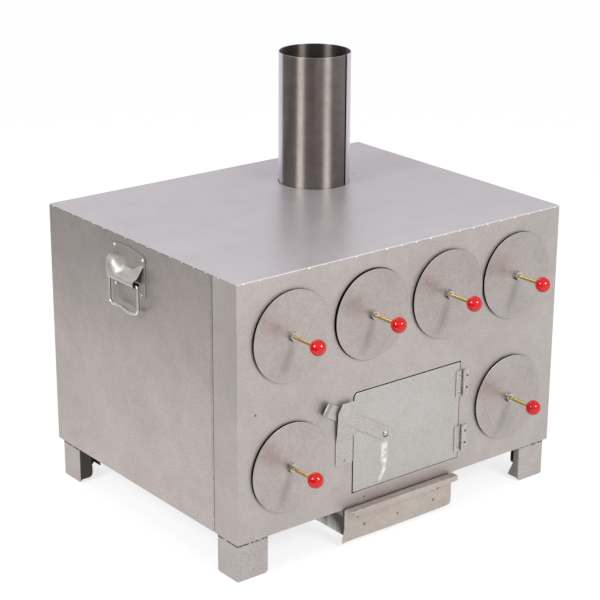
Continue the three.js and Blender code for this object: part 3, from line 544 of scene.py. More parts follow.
inner_steel = steel_finish("inner_steel", pale=(150, 146, 143), dark=(112, 107, 104), metallic=0.8,
                           roughness=0.55, grain=300, streaks=(1, 0.3, 1), wear=0.3)
bottom_low, bottom_high = extent("bottom_panel")
grate_low, grate_high = extent("fire_grate")
ash_hole = box_outline(grate_low.x + grate_bearing, grate_low.y + grate_bearing,
                       grate_high.x - grate_bearing, grate_high.y - grate_bearing, small_corner)
bottom_outline = box_outline(bottom_low.x, bottom_low.y, bottom_high.x, bottom_high.y, small_corner)
bottom = blank(bottom_outline, sheet, [ash_hole])
bottom.transform(Matrix.Translation((0, 0, bottom_low.z)))
finished(bottom, "bottom_sheet", inner_steel, "housing", ["bottom_panel"])

top_low, top_high = extent("top_panel")
flue_low, flue_high = extent("flue_pipe")
flue_centre = (flue_low + flue_high) / 2
flue_radius = (flue_high.x - flue_low.x) / 2
satin_top = steel_finish("satin_top", pale=(208, 202, 203), dark=(191, 185, 186), metallic=0.62,
                         roughness=0.34, grain=260, grain_share=0.25, lift=0.004, cloud=3,
                         streaks=(0.35, 1.6, 1), worn=(206, 202, 204), wear=0.3)
top_tree = satin_top.node_tree
_, top_y, top_z = axes_of(top_tree, surface(top_tree))
# Painted shade on the top's cut edges.
stained(satin_top, faded(top_tree, top_z, top_high.z, cut_edge_shade, 0.35, 0), shade(128, 120, 116))
# A painted highlight along the top's front edge.
front_edge_highlight = multiplied(top_tree, faded(top_tree, top_z, top_high.z, edge_highlight, 1, 0),
                       faded(top_tree, top_y, front_low.y, edge_highlight_depth, 0.8, 0))
stained(satin_top, front_edge_highlight, shade(250, 248, 244))
top_outline = box_outline(top_low.x, top_low.y, top_high.x, top_high.y, top_corner)
flue_hole = circle(flue_centre.x, flue_centre.y, flue_radius + seat_gap)
top = blank(top_outline, sheet, [flue_hole], edge=top_edge)
top.transform(Matrix.Translation((0, 0, top_low.z)))
finished(top, "top_sheet", satin_top, "housing", ["top_panel"])

# Legs
# Four pieces of 2 mm sheet, each folded to an angle with a lip at both ends. The lips widen
# downwards, the lower corners are cut round, and a flange at the top lies under the bottom sheet.
leg_sheet = 2
leg_bend = 3
leg_lip_low = 25  # width of the lips at their foot
leg_lip_high = 12  # of one lip above its flare
leg_lift = 6  # lips' lower edges off the ground
leg_cut = 7  # how far in the round of the lower corners reaches
leg_cut_corner = 4
leg_flare = 34  # height at which the lips start to widen
leg_flare_corner = 30  # radii where one lip and the other start to do so
leg_waist_corner = 6
leg_shoulder_drop = 7  # from there to where the second lip is at its widest
leg_shoulder_corner = 5
leg_lip_waist = 3  # how much narrower the second lip is above its shoulder
leg_lip_corner = 8
leg_lip_shades = {1: 0.55, -1: 0.92}  # of painted shade on the front and the rear legs' lips
leg_lip_margin = 0.1  # how far short of a lip's sheet a vertex still belongs to it
leg_gap_shade = (-3, -2.4)  # from the front's foot, over which dashes of painted shade, in the gap under the cabinet, begin

leg_finish = steel_finish("leg_sheet", pale=(188, 182, 178), dark=(150, 142, 137), metallic=0.65,
                          roughness=0.42, grain=420, lift=0.2, grain_share=0.6, wear=0.9)
leg_tree = leg_finish.node_tree
# Painted shade on the legs' inner sides and on their lips, which lie in the shade of the cabinet.
leg_painted_shade = node_in(leg_tree, "ShaderNodeAttribute", attribute_name="inner").outputs["Fac"]
stained(leg_finish, leg_painted_shade, shade(34, 30, 29))
leg_z = axes_of(leg_tree, surface(leg_tree))[2]
# Painted shade in brownish dashes at the top of each leg, in the gap under the cabinet.
dashes = ranged(leg_tree, noise(leg_tree, surface(leg_tree), scale=150, detail=1), 0.4, 0.5, 0, 1)
under_edge = faded(leg_tree, leg_z, front_low.z, leg_gap_shade, 0, 0.9)
stained(leg_finish, multiplied(leg_tree, under_edge, dashes), shade(72, 58, 46))
for name, to_right, to_back in (("front_left", 1, 1), ("front_right", -1, 1),
                                ("rear_left", 1, -1), ("rear_right", -1, -1)):
    low, high = extent(f"leg_{name}")
    width, depth, height = high - low
    corner_x = low.x if to_right > 0 else high.x
    corner_y = low.y if to_back > 0 else high.y
    leg_steps = [leg_lip_low - leg_bend, (90, leg_bend), depth - 2 * leg_bend, (90, leg_bend),
                 width - 2 * leg_bend, (90, leg_bend), leg_lip_low - leg_bend]
    girth = run_length(leg_steps)
    first_fold = run_length(leg_steps[:1])
    leg_outline = rounded([
        (0, leg_lift, leg_lip_corner), (first_fold, leg_lift, leg_cut_corner),
        (first_fold + leg_cut, 0, leg_cut_corner), (girth - first_fold - leg_cut, 0, leg_cut_corner),
        (girth - first_fold, leg_lift, leg_cut_corner), (girth, leg_lift, small_corner),
        (girth - leg_lip_low + leg_lip_high, leg_flare, leg_flare_corner),
        (girth - leg_lip_low + leg_lip_high, height, small_corner),
        (leg_lip_waist, height, small_corner), (leg_lip_waist, leg_flare, leg_waist_corner),
        (0, leg_flare - leg_shoulder_drop, leg_shoulder_corner),
    ])
    leg = blank(leg_outline, leg_sheet)
    # Marks the inner side, which the finish paints in shade.
    inner = leg.verts.layers.float.new("inner")
    for vertex in leg.verts:
        vertex[inner] = vertex.co.z > leg_sheet / 2

    def from_corner(across, back, z, x_place=corner_x, y_place=corner_y, right=to_right, rear=to_back):
        return (x_place + right * across, y_place + rear * back, z)

    leg = fold(leg, leg_steps, (leg_lip_low, depth), 180, from_corner)
    for vertex in leg.verts:
        past_width = (vertex.co.x - corner_x) * to_right - width
        past_depth = (vertex.co.y - corner_y) * to_back - depth
        if max(past_width, past_depth) > -leg_sheet - leg_lip_margin:
            vertex[inner] = max(vertex[inner], leg_lip_shades[to_back])
    inset = leg_sheet + seat_gap
    flange = box_outline(low.x + inset, low.y + inset, high.x - inset, high.y - inset, small_corner)
    flange_start = len(leg.verts)
    blank(flange, leg_sheet, shape=leg)
    leg.verts.ensure_lookup_table()
    for vertex in leg.verts[flange_start:]:
        vertex.co.z += height - leg_sheet
    finished(leg, f"{name}_leg", leg_finish, "housing", [f"leg_{name}"])

# Tack welds
# Small beads of weld, ground down unevenly, that hold the top sheet to the front and the side walls.
# Like the rivets and the spots further down, they are domes set on points.
tack_pitch = 31
tack_inset = 14
tack_radius = 1.5
tack_height = 0.8
dome_sides = 14
dome_rings = 4
tack_facings = {"front": (0, -1, 0.8), "left": (-1, 0, 0.8), "right": (1, 0, 0.8)}
side_tack_size = 0.75  # of a front one


def head_tree():
    """Domes on points: each faces its point's facing vector and is scaled by its point's size."""
    tree = bpy.data.node_groups.new("round_heads", "GeometryNodeTree")
    for name, kind in (("Points", "Geometry"), ("Radius", "Float"), ("Height", "Float"),
                       ("Unevenness", "Float"), ("Seed", "Int"), ("Finish", "Material")):
        tree.interface.new_socket(name, in_out="INPUT", socket_type=f"NodeSocket{kind}")
    tree.interface.new_socket("Heads", in_out="OUTPUT", socket_type="NodeSocketGeometry")
    given = node_in(tree, "NodeGroupInput").outputs
    cone = node_in(tree, "GeometryNodeMeshCone", {
        "Vertices": dome_sides, "Side Segments": dome_rings, "Radius Top": 0,
        "Radius Bottom": given["Radius"],
    }).outputs["Mesh"]
    x, y, _ = axes_of(tree, node_in(tree, "GeometryNodeInputPosition").outputs[0])
    far = maths(tree, "ADD", multiplied(tree, x, x), multiplied(tree, y, y))
    share = maths(tree, "DIVIDE", far, multiplied(tree, given["Radius"], given["Radius"]))
    dome = maths(tree, "SQRT", maths(tree, "MAXIMUM", maths(tree, "SUBTRACT", 1.0, share), 0.0))
    dome = multiplied(tree, dome, given["Height"])
    lifted = node_in(tree, "ShaderNodeCombineXYZ", {0: x, 1: y, 2: dome})
    head = node_in(tree, "GeometryNodeSetPosition", {"Geometry": cone, "Position": lifted.outputs[0]})
    smooth = node_in(tree, "GeometryNodeSetShadeSmooth", {"Geometry": head.outputs[0]}).outputs[0]
    facing = node_in(tree, "GeometryNodeInputNamedAttribute", {"Name": "facing"},
                     data_type="FLOAT_VECTOR")
    size = node_in(tree, "GeometryNodeInputNamedAttribute", {"Name": "size"}, data_type="FLOAT")
    turn = node_in(tree, "FunctionNodeAlignRotationToVector", {"Vector": facing.outputs[0]}, axis="Z")
    uneven = node_in(tree, "FunctionNodeRandomValue", {
        2: maths(tree, "SUBTRACT", 1.0, given["Unevenness"]),
        3: maths(tree, "ADD", 1.0, given["Unevenness"]),
        "Seed": given["Seed"],
    }, data_type="FLOAT").outputs[1]
    placed = node_in(tree, "GeometryNodeInstanceOnPoints", {
        "Points": given["Points"], "Instance": smooth, "Rotation": turn.outputs[0],
        "Scale": multiplied(tree, uneven, size.outputs[0]),
    })
    real = node_in(tree, "GeometryNodeRealizeInstances", {"Geometry": placed.outputs[0]})
    coloured = node_in(tree, "GeometryNodeSetMaterial", {"Geometry": real.outputs[0],
                                                         "Material": given["Finish"]})
    node_in(tree, "NodeGroupOutput", {0: coloured.outputs[0]})
    return tree


def run_tree(tree, points, inputs):
    """The plain mesh that a geometry tree makes from a mesh of points."""
    carrier = bpy.data.objects.new("points", points)
    bpy.context.scene.collection.objects.link(carrier)
    modifier = carrier.modifiers.new("tree", "NODES")
    modifier.node_group = tree
    for socket in tree.interface.items_tree:
        if socket.item_type == "SOCKET" and socket.name in inputs:
            modifier[socket.identifier] = inputs[socket.name]
    ready = carrier.evaluated_get(bpy.context.evaluated_depsgraph_get())
    mesh = bpy.data.meshes.new_from_object(ready)
    bpy.data.objects.remove(carrier)
    bpy.data.meshes.remove(points)
    return mesh


round_heads = head_tree()


def heads(name, places, radius, height, finish, body, slot, nodes, seed, unevenness=0.06):
    """Round heads as one piece. Each place is a point in millimetres, its facing and its size."""
    points = bpy.data.meshes.new(name)
    points.from_pydata([Vector(point) * METRE for point, _, _ in places], [], [])
    points.attributes.new("facing", "FLOAT_VECTOR", "POINT")
    points.attributes.new("size", "FLOAT", "POINT")
    for place, (_, direction, scale) in enumerate(places):
        points.attributes["facing"].data[place].vector = direction
        points.attributes["size"].data[place].value = scale
    inputs = {"Radius": radius * METRE, "Height": height * METRE, "Unevenness": unevenness,
              "Seed": seed, "Finish": finish}
    return as_piece(run_tree(round_heads, points, inputs), name, finish, body, nodes)


bright_bead = steel_finish("bright_bead", pale=(252, 250, 248), dark=(226, 222, 220), metallic=0.45,
                           roughness=0.3, grain=600, lift=0.05, wear=0)
front_run = top_high.x - top_low.x - 2 * tack_inset
side_run = top_high.y - top_low.y - 2 * tack_inset
front_tacks = int(front_run / tack_pitch)
side_tacks = int(side_run / tack_pitch)
tacks = []
for step in range(front_tacks + 1):
    x = top_low.x + tack_inset + front_run * step / front_tacks
    tacks.append(((x, top_low.y, top_low.z), tack_facings["front"], 1))
for step in range(side_tacks + 1):
    y = top_low.y + tack_inset + side_run * step / side_tacks
    tacks.append(((top_low.x, y, top_low.z), tack_facings["left"], side_tack_size))
    tacks.append(((top_high.x, y, top_low.z), tack_facings["right"], side_tack_size))
heads("tack_beads", tacks, tack_radius, tack_height, bright_bead, "housing", "textured_steel",
      ["top_panel"], seed=7, unevenness=0.3)

# Flue
# A length of pipe rolled from 1.2 mm sheet, so that one end laps over the other in an upright seam,
# which is spot welded. It is brushed round and round, brown along the seam and sooty inside.
flue_wall = 1.2
flue_seam = math.radians(-68)  # the outer end of the sheet, seen from above
flue_lap = 14
flue_spot_heights = (718, 640, 560, 486)
flue_steps = 144
flue_rim = 0.35  # rounding of the cut ends
seam_play = 0.1  # between the lapped ends
seam_stain = (-7, -0.5)  # round the pipe from the seam, over which the brown deepens
seam_line_start = (-1.3, -0.7)  # and where the dark line of the seam begins
seam_line_end = (0.2, 0.5)  # and ends
inside_soot = (-10, 0)  # a point's reach from the axis along its normal, which is less than 0 inside
spot_sink = 0.35  # how deep the spot welds sit in the wall
flue_spot = (2.4, 0.3)  # their radius and height

flue_sheet = steel_finish("flue_sheet", pale=(133, 125, 120), dark=(105, 97, 92), metallic=1,
                          roughness=0.37, grain=500, lift=0.03, cloud=9, streaks=(1, 1, 0.12), wear=0.8,
                          grain_share=0.2)
flue_tree = flue_sheet.node_tree
flue_shader = flue_tree.nodes["Principled BSDF"]
flue_shader.inputs["Anisotropic"].default_value = 0.95
flue_shader.inputs["Anisotropic Rotation"].default_value = 0.25
# A painted reflection: where the pipe is seen at a grazing angle, its colour is painted pale lilac.
grazing_reflection = node_in(flue_tree, "ShaderNodeLayerWeight", {"Blend": 0.5}).outputs["Facing"]
stained(flue_sheet, ranged(flue_tree, grazing_reflection, 0.5, 0.6, 0, 1), shade(212, 203, 214))
flue_tangent = node_in(flue_tree, "ShaderNodeTangent", direction_type="RADIAL", axis="Z")
flue_tree.links.new(flue_tangent.outputs[0], flue_shader.inputs["Tangent"])
from_axis = node_in(flue_tree, "ShaderNodeMapping", {
    "Vector": surface(flue_tree), "Location": (-flue_centre.x * METRE, -flue_centre.y * METRE, 0),
}).outputs[0]
from_seam = axes_of(flue_tree, node_in(flue_tree, "ShaderNodeVectorRotate", {
    "Vector": from_axis, "Angle": -flue_seam,
}, rotation_type="Z_AXIS").outputs[0])
near_seam = maths(flue_tree, "GREATER_THAN", from_seam[0], flue_radius * METRE * 0.5)
line_end = faded(flue_tree, from_seam[1], 0, seam_line_end, 1, 0)
browned = faded(flue_tree, from_seam[1], 0, seam_stain, 0, 0.75)
stained(flue_sheet, multiplied(flue_tree, near_seam, browned, line_end), shade(120, 92, 72))
line_start = faded(flue_tree, from_seam[1], 0, seam_line_start, 0, 1)
stained(flue_sheet, multiplied(flue_tree, near_seam, line_start, line_end), shade(26, 22, 22))
outward = node_in(flue_tree, "ShaderNodeVectorMath", {0: surface(flue_tree, "Normal"), 1: from_axis},
                  operation="DOT_PRODUCT").outputs["Value"]
stained(flue_sheet, faded(flue_tree, outward, 0, inside_soot, 0.5, 0), shade(60, 55, 54))

flue_turn = 2 * math.pi + flue_lap / flue_radius
outer_wall = []
inner_wall = []
for step in range(flue_steps + 1):
    turn = flue_seam + flue_turn * step / flue_steps
    spoke = Vector((math.cos(turn), math.sin(turn)))
    tuck = (flue_wall + seam_play) * step / flue_steps
    outer_wall.append(flue_centre.xy + spoke * (flue_radius - tuck))
    inner_wall.append(flue_centre.xy + spoke * (flue_radius - tuck - flue_wall))
flue = blank(outer_wall + inner_wall[::-1], flue_high.z - flue_low.z, edge=flue_rim)
flue.transform(Matrix.Translation((0, 0, flue_low.z)))
finished(flue, "flue_wall", flue_sheet, "housing", ["flue_pipe"])

spot_mark = steel_finish("spot_mark", pale=(150, 118, 118), dark=(96, 72, 72), metallic=0.7,
                         roughness=0.4, grain=700, lift=0.05, wear=0)
spot_turn = flue_seam + 0.5 * flue_lap / flue_radius
spot_way = Vector((math.cos(spot_turn), math.sin(spot_turn), 0))
spot_place = flue_centre.xy + spot_way.xy * (flue_radius - spot_sink)
flue_spots = [((*spot_place, height), spot_way, 1) for height in flue_spot_heights]
heads("flue_spots", flue_spots, *flue_spot, spot_mark, "housing", "flue_steel", ["flue_pipe"], seed=3)

# Roasting tubes
# A 1.2 mm steel tube behind each round hole, closed at its back, that keeps the smoke off the food.
tube_wall = 1.2
tube_steel = steel_finish("tube_steel", pale=(140, 135, 132), dark=(104, 99, 96), metallic=0.85,
                          roughness=0.5, grain=300, streaks=(1, 0.2, 1), wear=0.3)


def turned(profile, sides, closed=False):
    """Turns (radius, height) points round the z axis. A radius of 0 closes the shape in a pole."""
    shape = bmesh.new()
    rings = []
    for radius, height in profile:
        if radius:
            rings.append([shape.verts.new((*point, height)) for point in circle(0, 0, radius, sides)])
        else:
            rings.append([shape.verts.new((0, 0, height))])
    if closed:
        rings.append(rings[0])
    for low, high in zip(rings, rings[1:]):
        for place in range(sides):
            if len(low) == 1:
                corners = (low[0], high[place], high[place - 1])
            elif len(high) == 1:
                corners = (low[place - 1], low[place], high[0])
            else:
                corners = (low[place - 1], low[place], high[place], high[place - 1])
            shape.faces.new(corners)
    return shape


along_depth = Matrix(((1, 0, 0), (0, 0, 1), (0, 1, 0))).to_4x4()  # a z axis laid along the depth
for node in hole_nodes:
    low, high = extent(node)
    middle = (low + high) / 2
    radius = (high.x - low.x) / 2
    depth = high.y - low.y
    tube = turned([
        (0, depth - tube_wall), (radius - tube_wall, depth - tube_wall), (radius - tube_wall, soft_edge),
        (radius - tube_wall + soft_edge, 0), (radius - soft_edge, 0), (radius, soft_edge),
        (radius, depth), (0, depth),
    ], hole_sides)
    tube.transform(Matrix.Translation((middle.x, low.y, middle.z)) @ along_depth)
    finished(tube, f"{node}_wall", tube_steel, "housing", [node])

# Drawers
# Each is a steel disc with a painted shadow of its rod and knob below its middle, and a trough of thin
# steel behind it, clamped between two nuts and a washer on a yellow-zinc rod. A glossy red plastic ball
# is screwed on the rod's end.
disc_thick = 1.6
disc_edge = 0.35
rod_radius = 3
thread_pitch = 1
thread_depth = 0.3
thread_front = 5  # length of thread in front of the disc's nut
nut_across = 14
washer_radius = 8
washer_sheet = 0.9
nut_height = 5
knob_rings = 22
knob_sides = 48
trough_sheet = 1.2
trough_steps = 40
bore_sides = 24
thread_sides = 20
washer_sides = 32
nut_edge = 0.7
nut_play = 0.05  # between a nut's bore and its thread
washer_play = 0.2
washer_edge = 0.2
rod_point = 1  # chamfer at the rod's inner end
knob_play = 0.1  # between the ball's bore and the rod
knob_shadow_reach = (-62, -12)  # from the nut's height, between which the painted shadow's middle leans
knob_shadow_lean = (-20, -1)  # to the nut's side at those two heights
knob_shadow_half = (1, 14)  # from its middle, over which it thins
knob_shadow_foot = (-70, -50)  # from the nut's height, over which it begins
knob_shadow_neck = (-24, -6)  # over which it weakens
knob_shadow_head = (-6, -2)  # over which it ends
rim_shadow = (-4.5, -4.2)  # from the front's face, over which the dark under a disc's rim ends
rod_shade = shade(104, 76, 34)
nut_shade = shade(50, 45, 42)

disc_steel = steel_finish("disc_steel", pale=(181, 173, 168), dark=(155, 147, 142), metallic=0.88,
                          roughness=0.38, grain=300, lift=0.08, cloud=8, wear=0.4, grain_share=0.45)
disc_tree = disc_steel.node_tree
disc_x, disc_y, disc_z = axes_of(disc_tree, surface(disc_tree))
# A painted shadow of each rod and knob, falling on the disc below its nut.
for x, z, _ in holes:
    knob_shadow_from, knob_shadow_to = [(x + lean) * METRE for lean in knob_shadow_lean]
    knob_shadow_middle = faded(disc_tree, disc_z, z, knob_shadow_reach, knob_shadow_from, knob_shadow_to)
    from_knob_shadow = maths(disc_tree, "ABSOLUTE", maths(disc_tree, "SUBTRACT", disc_x, knob_shadow_middle))
    stained(disc_steel, multiplied(
        disc_tree,
        faded(disc_tree, from_knob_shadow, 0, knob_shadow_half, 0.34, 0),
        faded(disc_tree, disc_z, z, knob_shadow_foot, 0, 1),
        faded(disc_tree, disc_z, z, knob_shadow_neck, 1, 0.6),
        faded(disc_tree, disc_z, z, knob_shadow_head, 1, 0),
    ), shade(112, 104, 98))
stained(disc_steel, faded(disc_tree, disc_y, front_low.y, rim_shadow, 0, 1), shade(38, 33, 31))


def shaded_below(finish, level, share, colour):
    """Paints shade on the faces of a finish that look downwards."""
    facing_up = axes_of(finish.node_tree, surface(finish.node_tree, "Normal"))[2]
    stained(finish, ranged(finish.node_tree, facing_up, *level, share, 0), colour)


yellow_zinc = steel_finish("yellow_zinc", pale=(228, 207, 132), dark=(188, 163, 90), metallic=0.9,
                           roughness=0.2, grain=500, lift=0.006, cloud=30, worn=(236, 214, 150), wear=0.3,
                           grain_share=0.2)
# Painted shade on the undersides of the rod and of the nuts.
shaded_below(yellow_zinc, (-0.65, 0), 0.85, rod_shade)
bright_nut = steel_finish("bright_nut", pale=(236, 232, 226), dark=(150, 144, 138), metallic=0.9,
                          roughness=0.2, grain=500, lift=0.008, cloud=90, wear=0.3, grain_share=0.2)
shaded_below(bright_nut, (-0.4, 0.1), 0.9, nut_shade)

red_gloss = bpy.data.materials.new("red_gloss")
red_gloss.use_nodes = True
red_tree = red_gloss.node_tree
red_shader = red_tree.nodes["Principled BSDF"]
red_clouds = noise(red_tree, surface(red_tree), scale=70, detail=3)
red_ripple = noise(red_tree, surface(red_tree), scale=260, detail=2)
red_tree.links.new(blended(red_tree, red_clouds, shade(176, 6, 8), shade(192, 10, 12)),
                   red_shader.inputs["Base Color"])
red_tree.links.new(ranged(red_tree, red_clouds, 0.3, 0.7, 0.04, 0.08), red_shader.inputs["Roughness"])
red_tree.links.new(node_in(red_tree, "ShaderNodeBump", {"Height": red_ripple, "Strength": 0.01,
                                                        "Distance": 0.05 * METRE}).outputs[0],
                   red_shader.inputs["Normal"])

disc_bore = circle(0, 0, rod_radius + seat_gap, bore_sides)
hexagon = circle(0, 0, nut_across / math.sqrt(3), 6)
nut_bore = circle(0, 0, rod_radius + nut_play, thread_sides)
washer_bore = circle(0, 0, rod_radius + washer_play, thread_sides)
knob_bore = rod_radius + knob_play
lower_turns = [math.pi * (1 + step / trough_steps) for step in range(trough_steps + 1)]
lower_half = [Vector((math.cos(turn), math.sin(turn))) for turn in lower_turns]
for number in range(1, 7):
    body = f"drawer_{number}"
    disc_low, disc_high = extent(f"{body}_disc")
    rod_low, rod_high = extent(f"{body}_rod")
    tray_low, tray_high = extent(f"{body}_tray")
    knob_low, knob_high = extent(f"{body}_knob")
    axis = (disc_low + disc_high) / 2
    on_axis = Matrix.Translation((axis.x, 0, axis.z)) @ along_depth
    disc_radius = (disc_high.x - disc_low.x) / 2
    disc = blank(circle(0, 0, disc_radius), disc_thick, [disc_bore], disc_edge)
    disc.transform(on_axis @ Matrix.Translation((0, 0, disc_low.y)))
    finished(disc, f"{body}_door", disc_steel, body, [f"{body}_disc"])

    outer_nut = disc_low.y - seat_gap - nut_height
    inner_nut = disc_high.y + seat_gap + trough_sheet + seat_gap
    profile = [(0, rod_low.y), (rod_radius, rod_low.y)]
    for start, end in ((outer_nut - thread_front, outer_nut),
                       (inner_nut + nut_height, rod_high.y - rod_point)):
        for ridge in range(int((end - start) / thread_pitch)):
            profile.append((rod_radius, start + ridge * thread_pitch))
            profile.append((rod_radius - thread_depth, start + (ridge + 0.5) * thread_pitch))
        profile.append((rod_radius, end))
    profile += [(rod_radius - rod_point, rod_high.y), (0, rod_high.y)]
    rod = turned(profile, thread_sides)
    rod.transform(on_axis)
    finished(rod, f"{body}_threaded_rod", yellow_zinc, body, [f"{body}_rod"], crease=60)

    nuts = bmesh.new()
    for nut_front in (outer_nut - washer_sheet, inner_nut):
        nut = blank(hexagon, nut_height, [nut_bore], nut_edge)
        nut.transform(on_axis @ Matrix.Translation((0, 0, nut_front)))
        added(nuts, nut)
    washer = blank(circle(0, 0, washer_radius, washer_sides), washer_sheet, [washer_bore], washer_edge)
    washer.transform(on_axis @ Matrix.Translation((0, 0, outer_nut + nut_height - washer_sheet)))
    added(nuts, washer)
    finished(nuts, f"{body}_nuts", bright_nut, body, [f"{body}_rod"])

    knob_radius = (knob_high.x - knob_low.x) / 2
    knob_centre = knob_low.y + knob_radius
    mouth = math.acos(knob_bore / knob_radius)
    ball = [(0, knob_low.y)]
    for ring in range(1, knob_rings + 1):
        turn = -math.pi / 2 + (mouth + math.pi / 2) * ring / knob_rings
        ball.append((knob_radius * math.cos(turn), knob_centre + knob_radius * math.sin(turn)))
    knob = turned([*ball, (knob_bore, knob_centre - seat_gap), (0, knob_centre - seat_gap)], knob_sides)
    knob.transform(on_axis)
    finished(knob, f"{body}_ball", red_gloss, body, [f"{body}_knob"])

    trough_radius = (tray_high.x - tray_low.x) / 2
    trough_z = (tray_high.z + tray_low.z) / 2
    outside = [Vector((0, trough_z)) + spoke * trough_radius for spoke in lower_half]
    inside = [Vector((0, trough_z)) + spoke * (trough_radius - trough_sheet) for spoke in lower_half]
    trough = blank(outside + inside[::-1], tray_high.y - tray_low.y)
    trough.transform(Matrix.Translation((axis.x, tray_low.y, 0)) @ along_depth)
    round_end = circle(0, trough_z, trough_radius, 2 * trough_steps)
    end_bore = circle(0, axis.z, rod_radius + seat_gap, bore_sides)
    for outline, end_place, end_holes in ((round_end, tray_low.y, [end_bore]),
                                          (outside, tray_high.y - trough_sheet, [])):
        end = blank(outline, trough_sheet, end_holes)
        end.transform(Matrix.Translation((axis.x, end_place, 0)) @ along_depth)
        added(trough, end)
    finished(trough, f"{body}_trough", tube_steel, body, [f"{body}_tray"])

# Fire box and grate
# The fire box is one 2 mm sheet folded round three sides, with flanges against the front panel, and
# stained by fire. The grate on its floor is cast iron: a frame with eight bars that taper downwards.
fire_sheet = 2
fire_flange = 12
fire_bend_outer = 3
fire_bend_inner = 1.2
grate_slots = 9
grate_corner = 3
grate_edge = 0.8
slot_corner = 2
slot_share = 0.55
bar_taper = 0.25
bar_tuck = 1  # how much longer than the slots and lower than the frame the bars are

fire_low, fire_high = extent("fire_box")
fire_left = fire_low.x + fire_flange + fire_sheet
fire_right = fire_high.x - fire_flange - fire_sheet
fire_side = fire_high.y - fire_sheet - fire_low.y - fire_bend_outer - fire_bend_inner
fire_steps = [
    fire_flange + fire_sheet - fire_bend_outer, (90, fire_bend_outer), fire_side, (-90, fire_bend_inner),
    fire_right - fire_left - 2 * fire_bend_inner,
    (-90, fire_bend_inner), fire_side, (90, fire_bend_outer), fire_flange + fire_sheet - fire_bend_outer,
]
fire_outline = box_outline(0, fire_low.z, run_length(fire_steps), fire_high.z, small_corner)
fire_steel = steel_finish("fire_steel", pale=(104, 98, 94), dark=(58, 52, 49), metallic=0.6,
                          roughness=0.62, grain=260, lift=0.2, cloud=7, wear=0.3)
fire_walls = fold(blank(fire_outline, fire_sheet), fire_steps, fire_low.xy, 0, lambda x, y, z: (x, y, z))
finished(fire_walls, "fire_box_walls", fire_steel, "housing", ["fire_box"])

cast_iron = steel_finish("cast_iron", pale=(82, 78, 76), dark=(46, 43, 42), metallic=0.4, roughness=0.72,
                         grain=320, lift=0.5, cloud=12, wear=0.5, worn=(120, 114, 110))
bar_left = grate_low.x + grate_bearing
bar_pitch = (grate_high.x - grate_low.x - 2 * grate_bearing) / grate_slots
bar_width = bar_pitch * (1 - slot_share)
slot_front = grate_low.y + grate_bearing
slot_back = grate_high.y - grate_bearing
grate_height = grate_high.z - grate_low.z
grate_outline = box_outline(grate_low.x, grate_low.y, grate_high.x, grate_high.y, grate_corner)
grate_hole = box_outline(bar_left + bar_width / 2, slot_front,
                         grate_high.x - grate_bearing - bar_width / 2, slot_back, slot_corner)
grate_frame = blank(grate_outline, grate_height, [grate_hole], grate_edge)
grate_frame.transform(Matrix.Translation((0, 0, grate_low.z)))
finished(grate_frame, "grate_frame", cast_iron, "housing", ["fire_grate"])


def bar_tree():
    """A row of bars along x from a starting point, each narrower at its foot."""
    tree = bpy.data.node_groups.new("grate_bars", "GeometryNodeTree")
    for name, kind in (("Start", "Geometry"), ("Bars", "Int"), ("Pitch", "Float"), ("Size", "Vector"),
                       ("Taper", "Float"), ("Finish", "Material")):
        tree.interface.new_socket(name, in_out="INPUT", socket_type=f"NodeSocket{kind}")
    tree.interface.new_socket("Row", in_out="OUTPUT", socket_type="NodeSocketGeometry")
    given = node_in(tree, "NodeGroupInput").outputs
    bar = node_in(tree, "GeometryNodeMeshCube", {"Size": given["Size"], "Vertices X": 3, "Vertices Y": 9,
                                                 "Vertices Z": 3}).outputs["Mesh"]
    x, _, z = axes_of(tree, node_in(tree, "GeometryNodeInputPosition").outputs[0])
    rise = maths(tree, "DIVIDE", z, axes_of(tree, given["Size"])[2])
    widening = multiplied(tree, x, multiplied(tree, rise, given["Taper"]))
    move = node_in(tree, "ShaderNodeCombineXYZ", {0: widening}).outputs[0]
    shaped = node_in(tree, "GeometryNodeSetPosition", {"Geometry": bar, "Offset": move}).outputs[0]
    step = node_in(tree, "ShaderNodeCombineXYZ", {0: given["Pitch"]}).outputs[0]
    line = node_in(tree, "GeometryNodeMeshLine", {"Count": given["Bars"], "Offset": step}, mode="OFFSET",
                   count_mode="TOTAL").outputs[0]
    placed = node_in(tree, "GeometryNodeInstanceOnPoints", {"Points": given["Start"], "Instance": line})
    points = node_in(tree, "GeometryNodeRealizeInstances", {"Geometry": placed.outputs[0]})
    bars = node_in(tree, "GeometryNodeInstanceOnPoints", {"Points": points.outputs[0], "Instance": shaped})
    real = node_in(tree, "GeometryNodeRealizeInstances", {"Geometry": bars.outputs[0]})
    coloured = node_in(tree, "GeometryNodeSetMaterial", {"Geometry": real.outputs[0],
                                                         "Material": given["Finish"]})
    node_in(tree, "NodeGroupOutput", {0: coloured.outputs[0]})
    return tree


bar_start = bpy.data.meshes.new("bar_start")
bar_start.from_pydata([Vector((bar_left + bar_pitch, (slot_front + slot_back) / 2,
                               (grate_low.z + grate_high.z) / 2)) * METRE], [], [])
bar_long = slot_back - slot_front + bar_tuck
bar_size = Vector((bar_width * (1 - bar_taper / 2), bar_long, grate_height - bar_tuck)) * METRE
bars = run_tree(bar_tree(), bar_start, {
    "Bars": grate_slots - 1, "Pitch": bar_pitch * METRE, "Size": bar_size, "Taper": bar_taper,
    "Finish": cast_iron,
})
as_piece(bars, "grate_bars", cast_iron, "housing", ["fire_grate"])

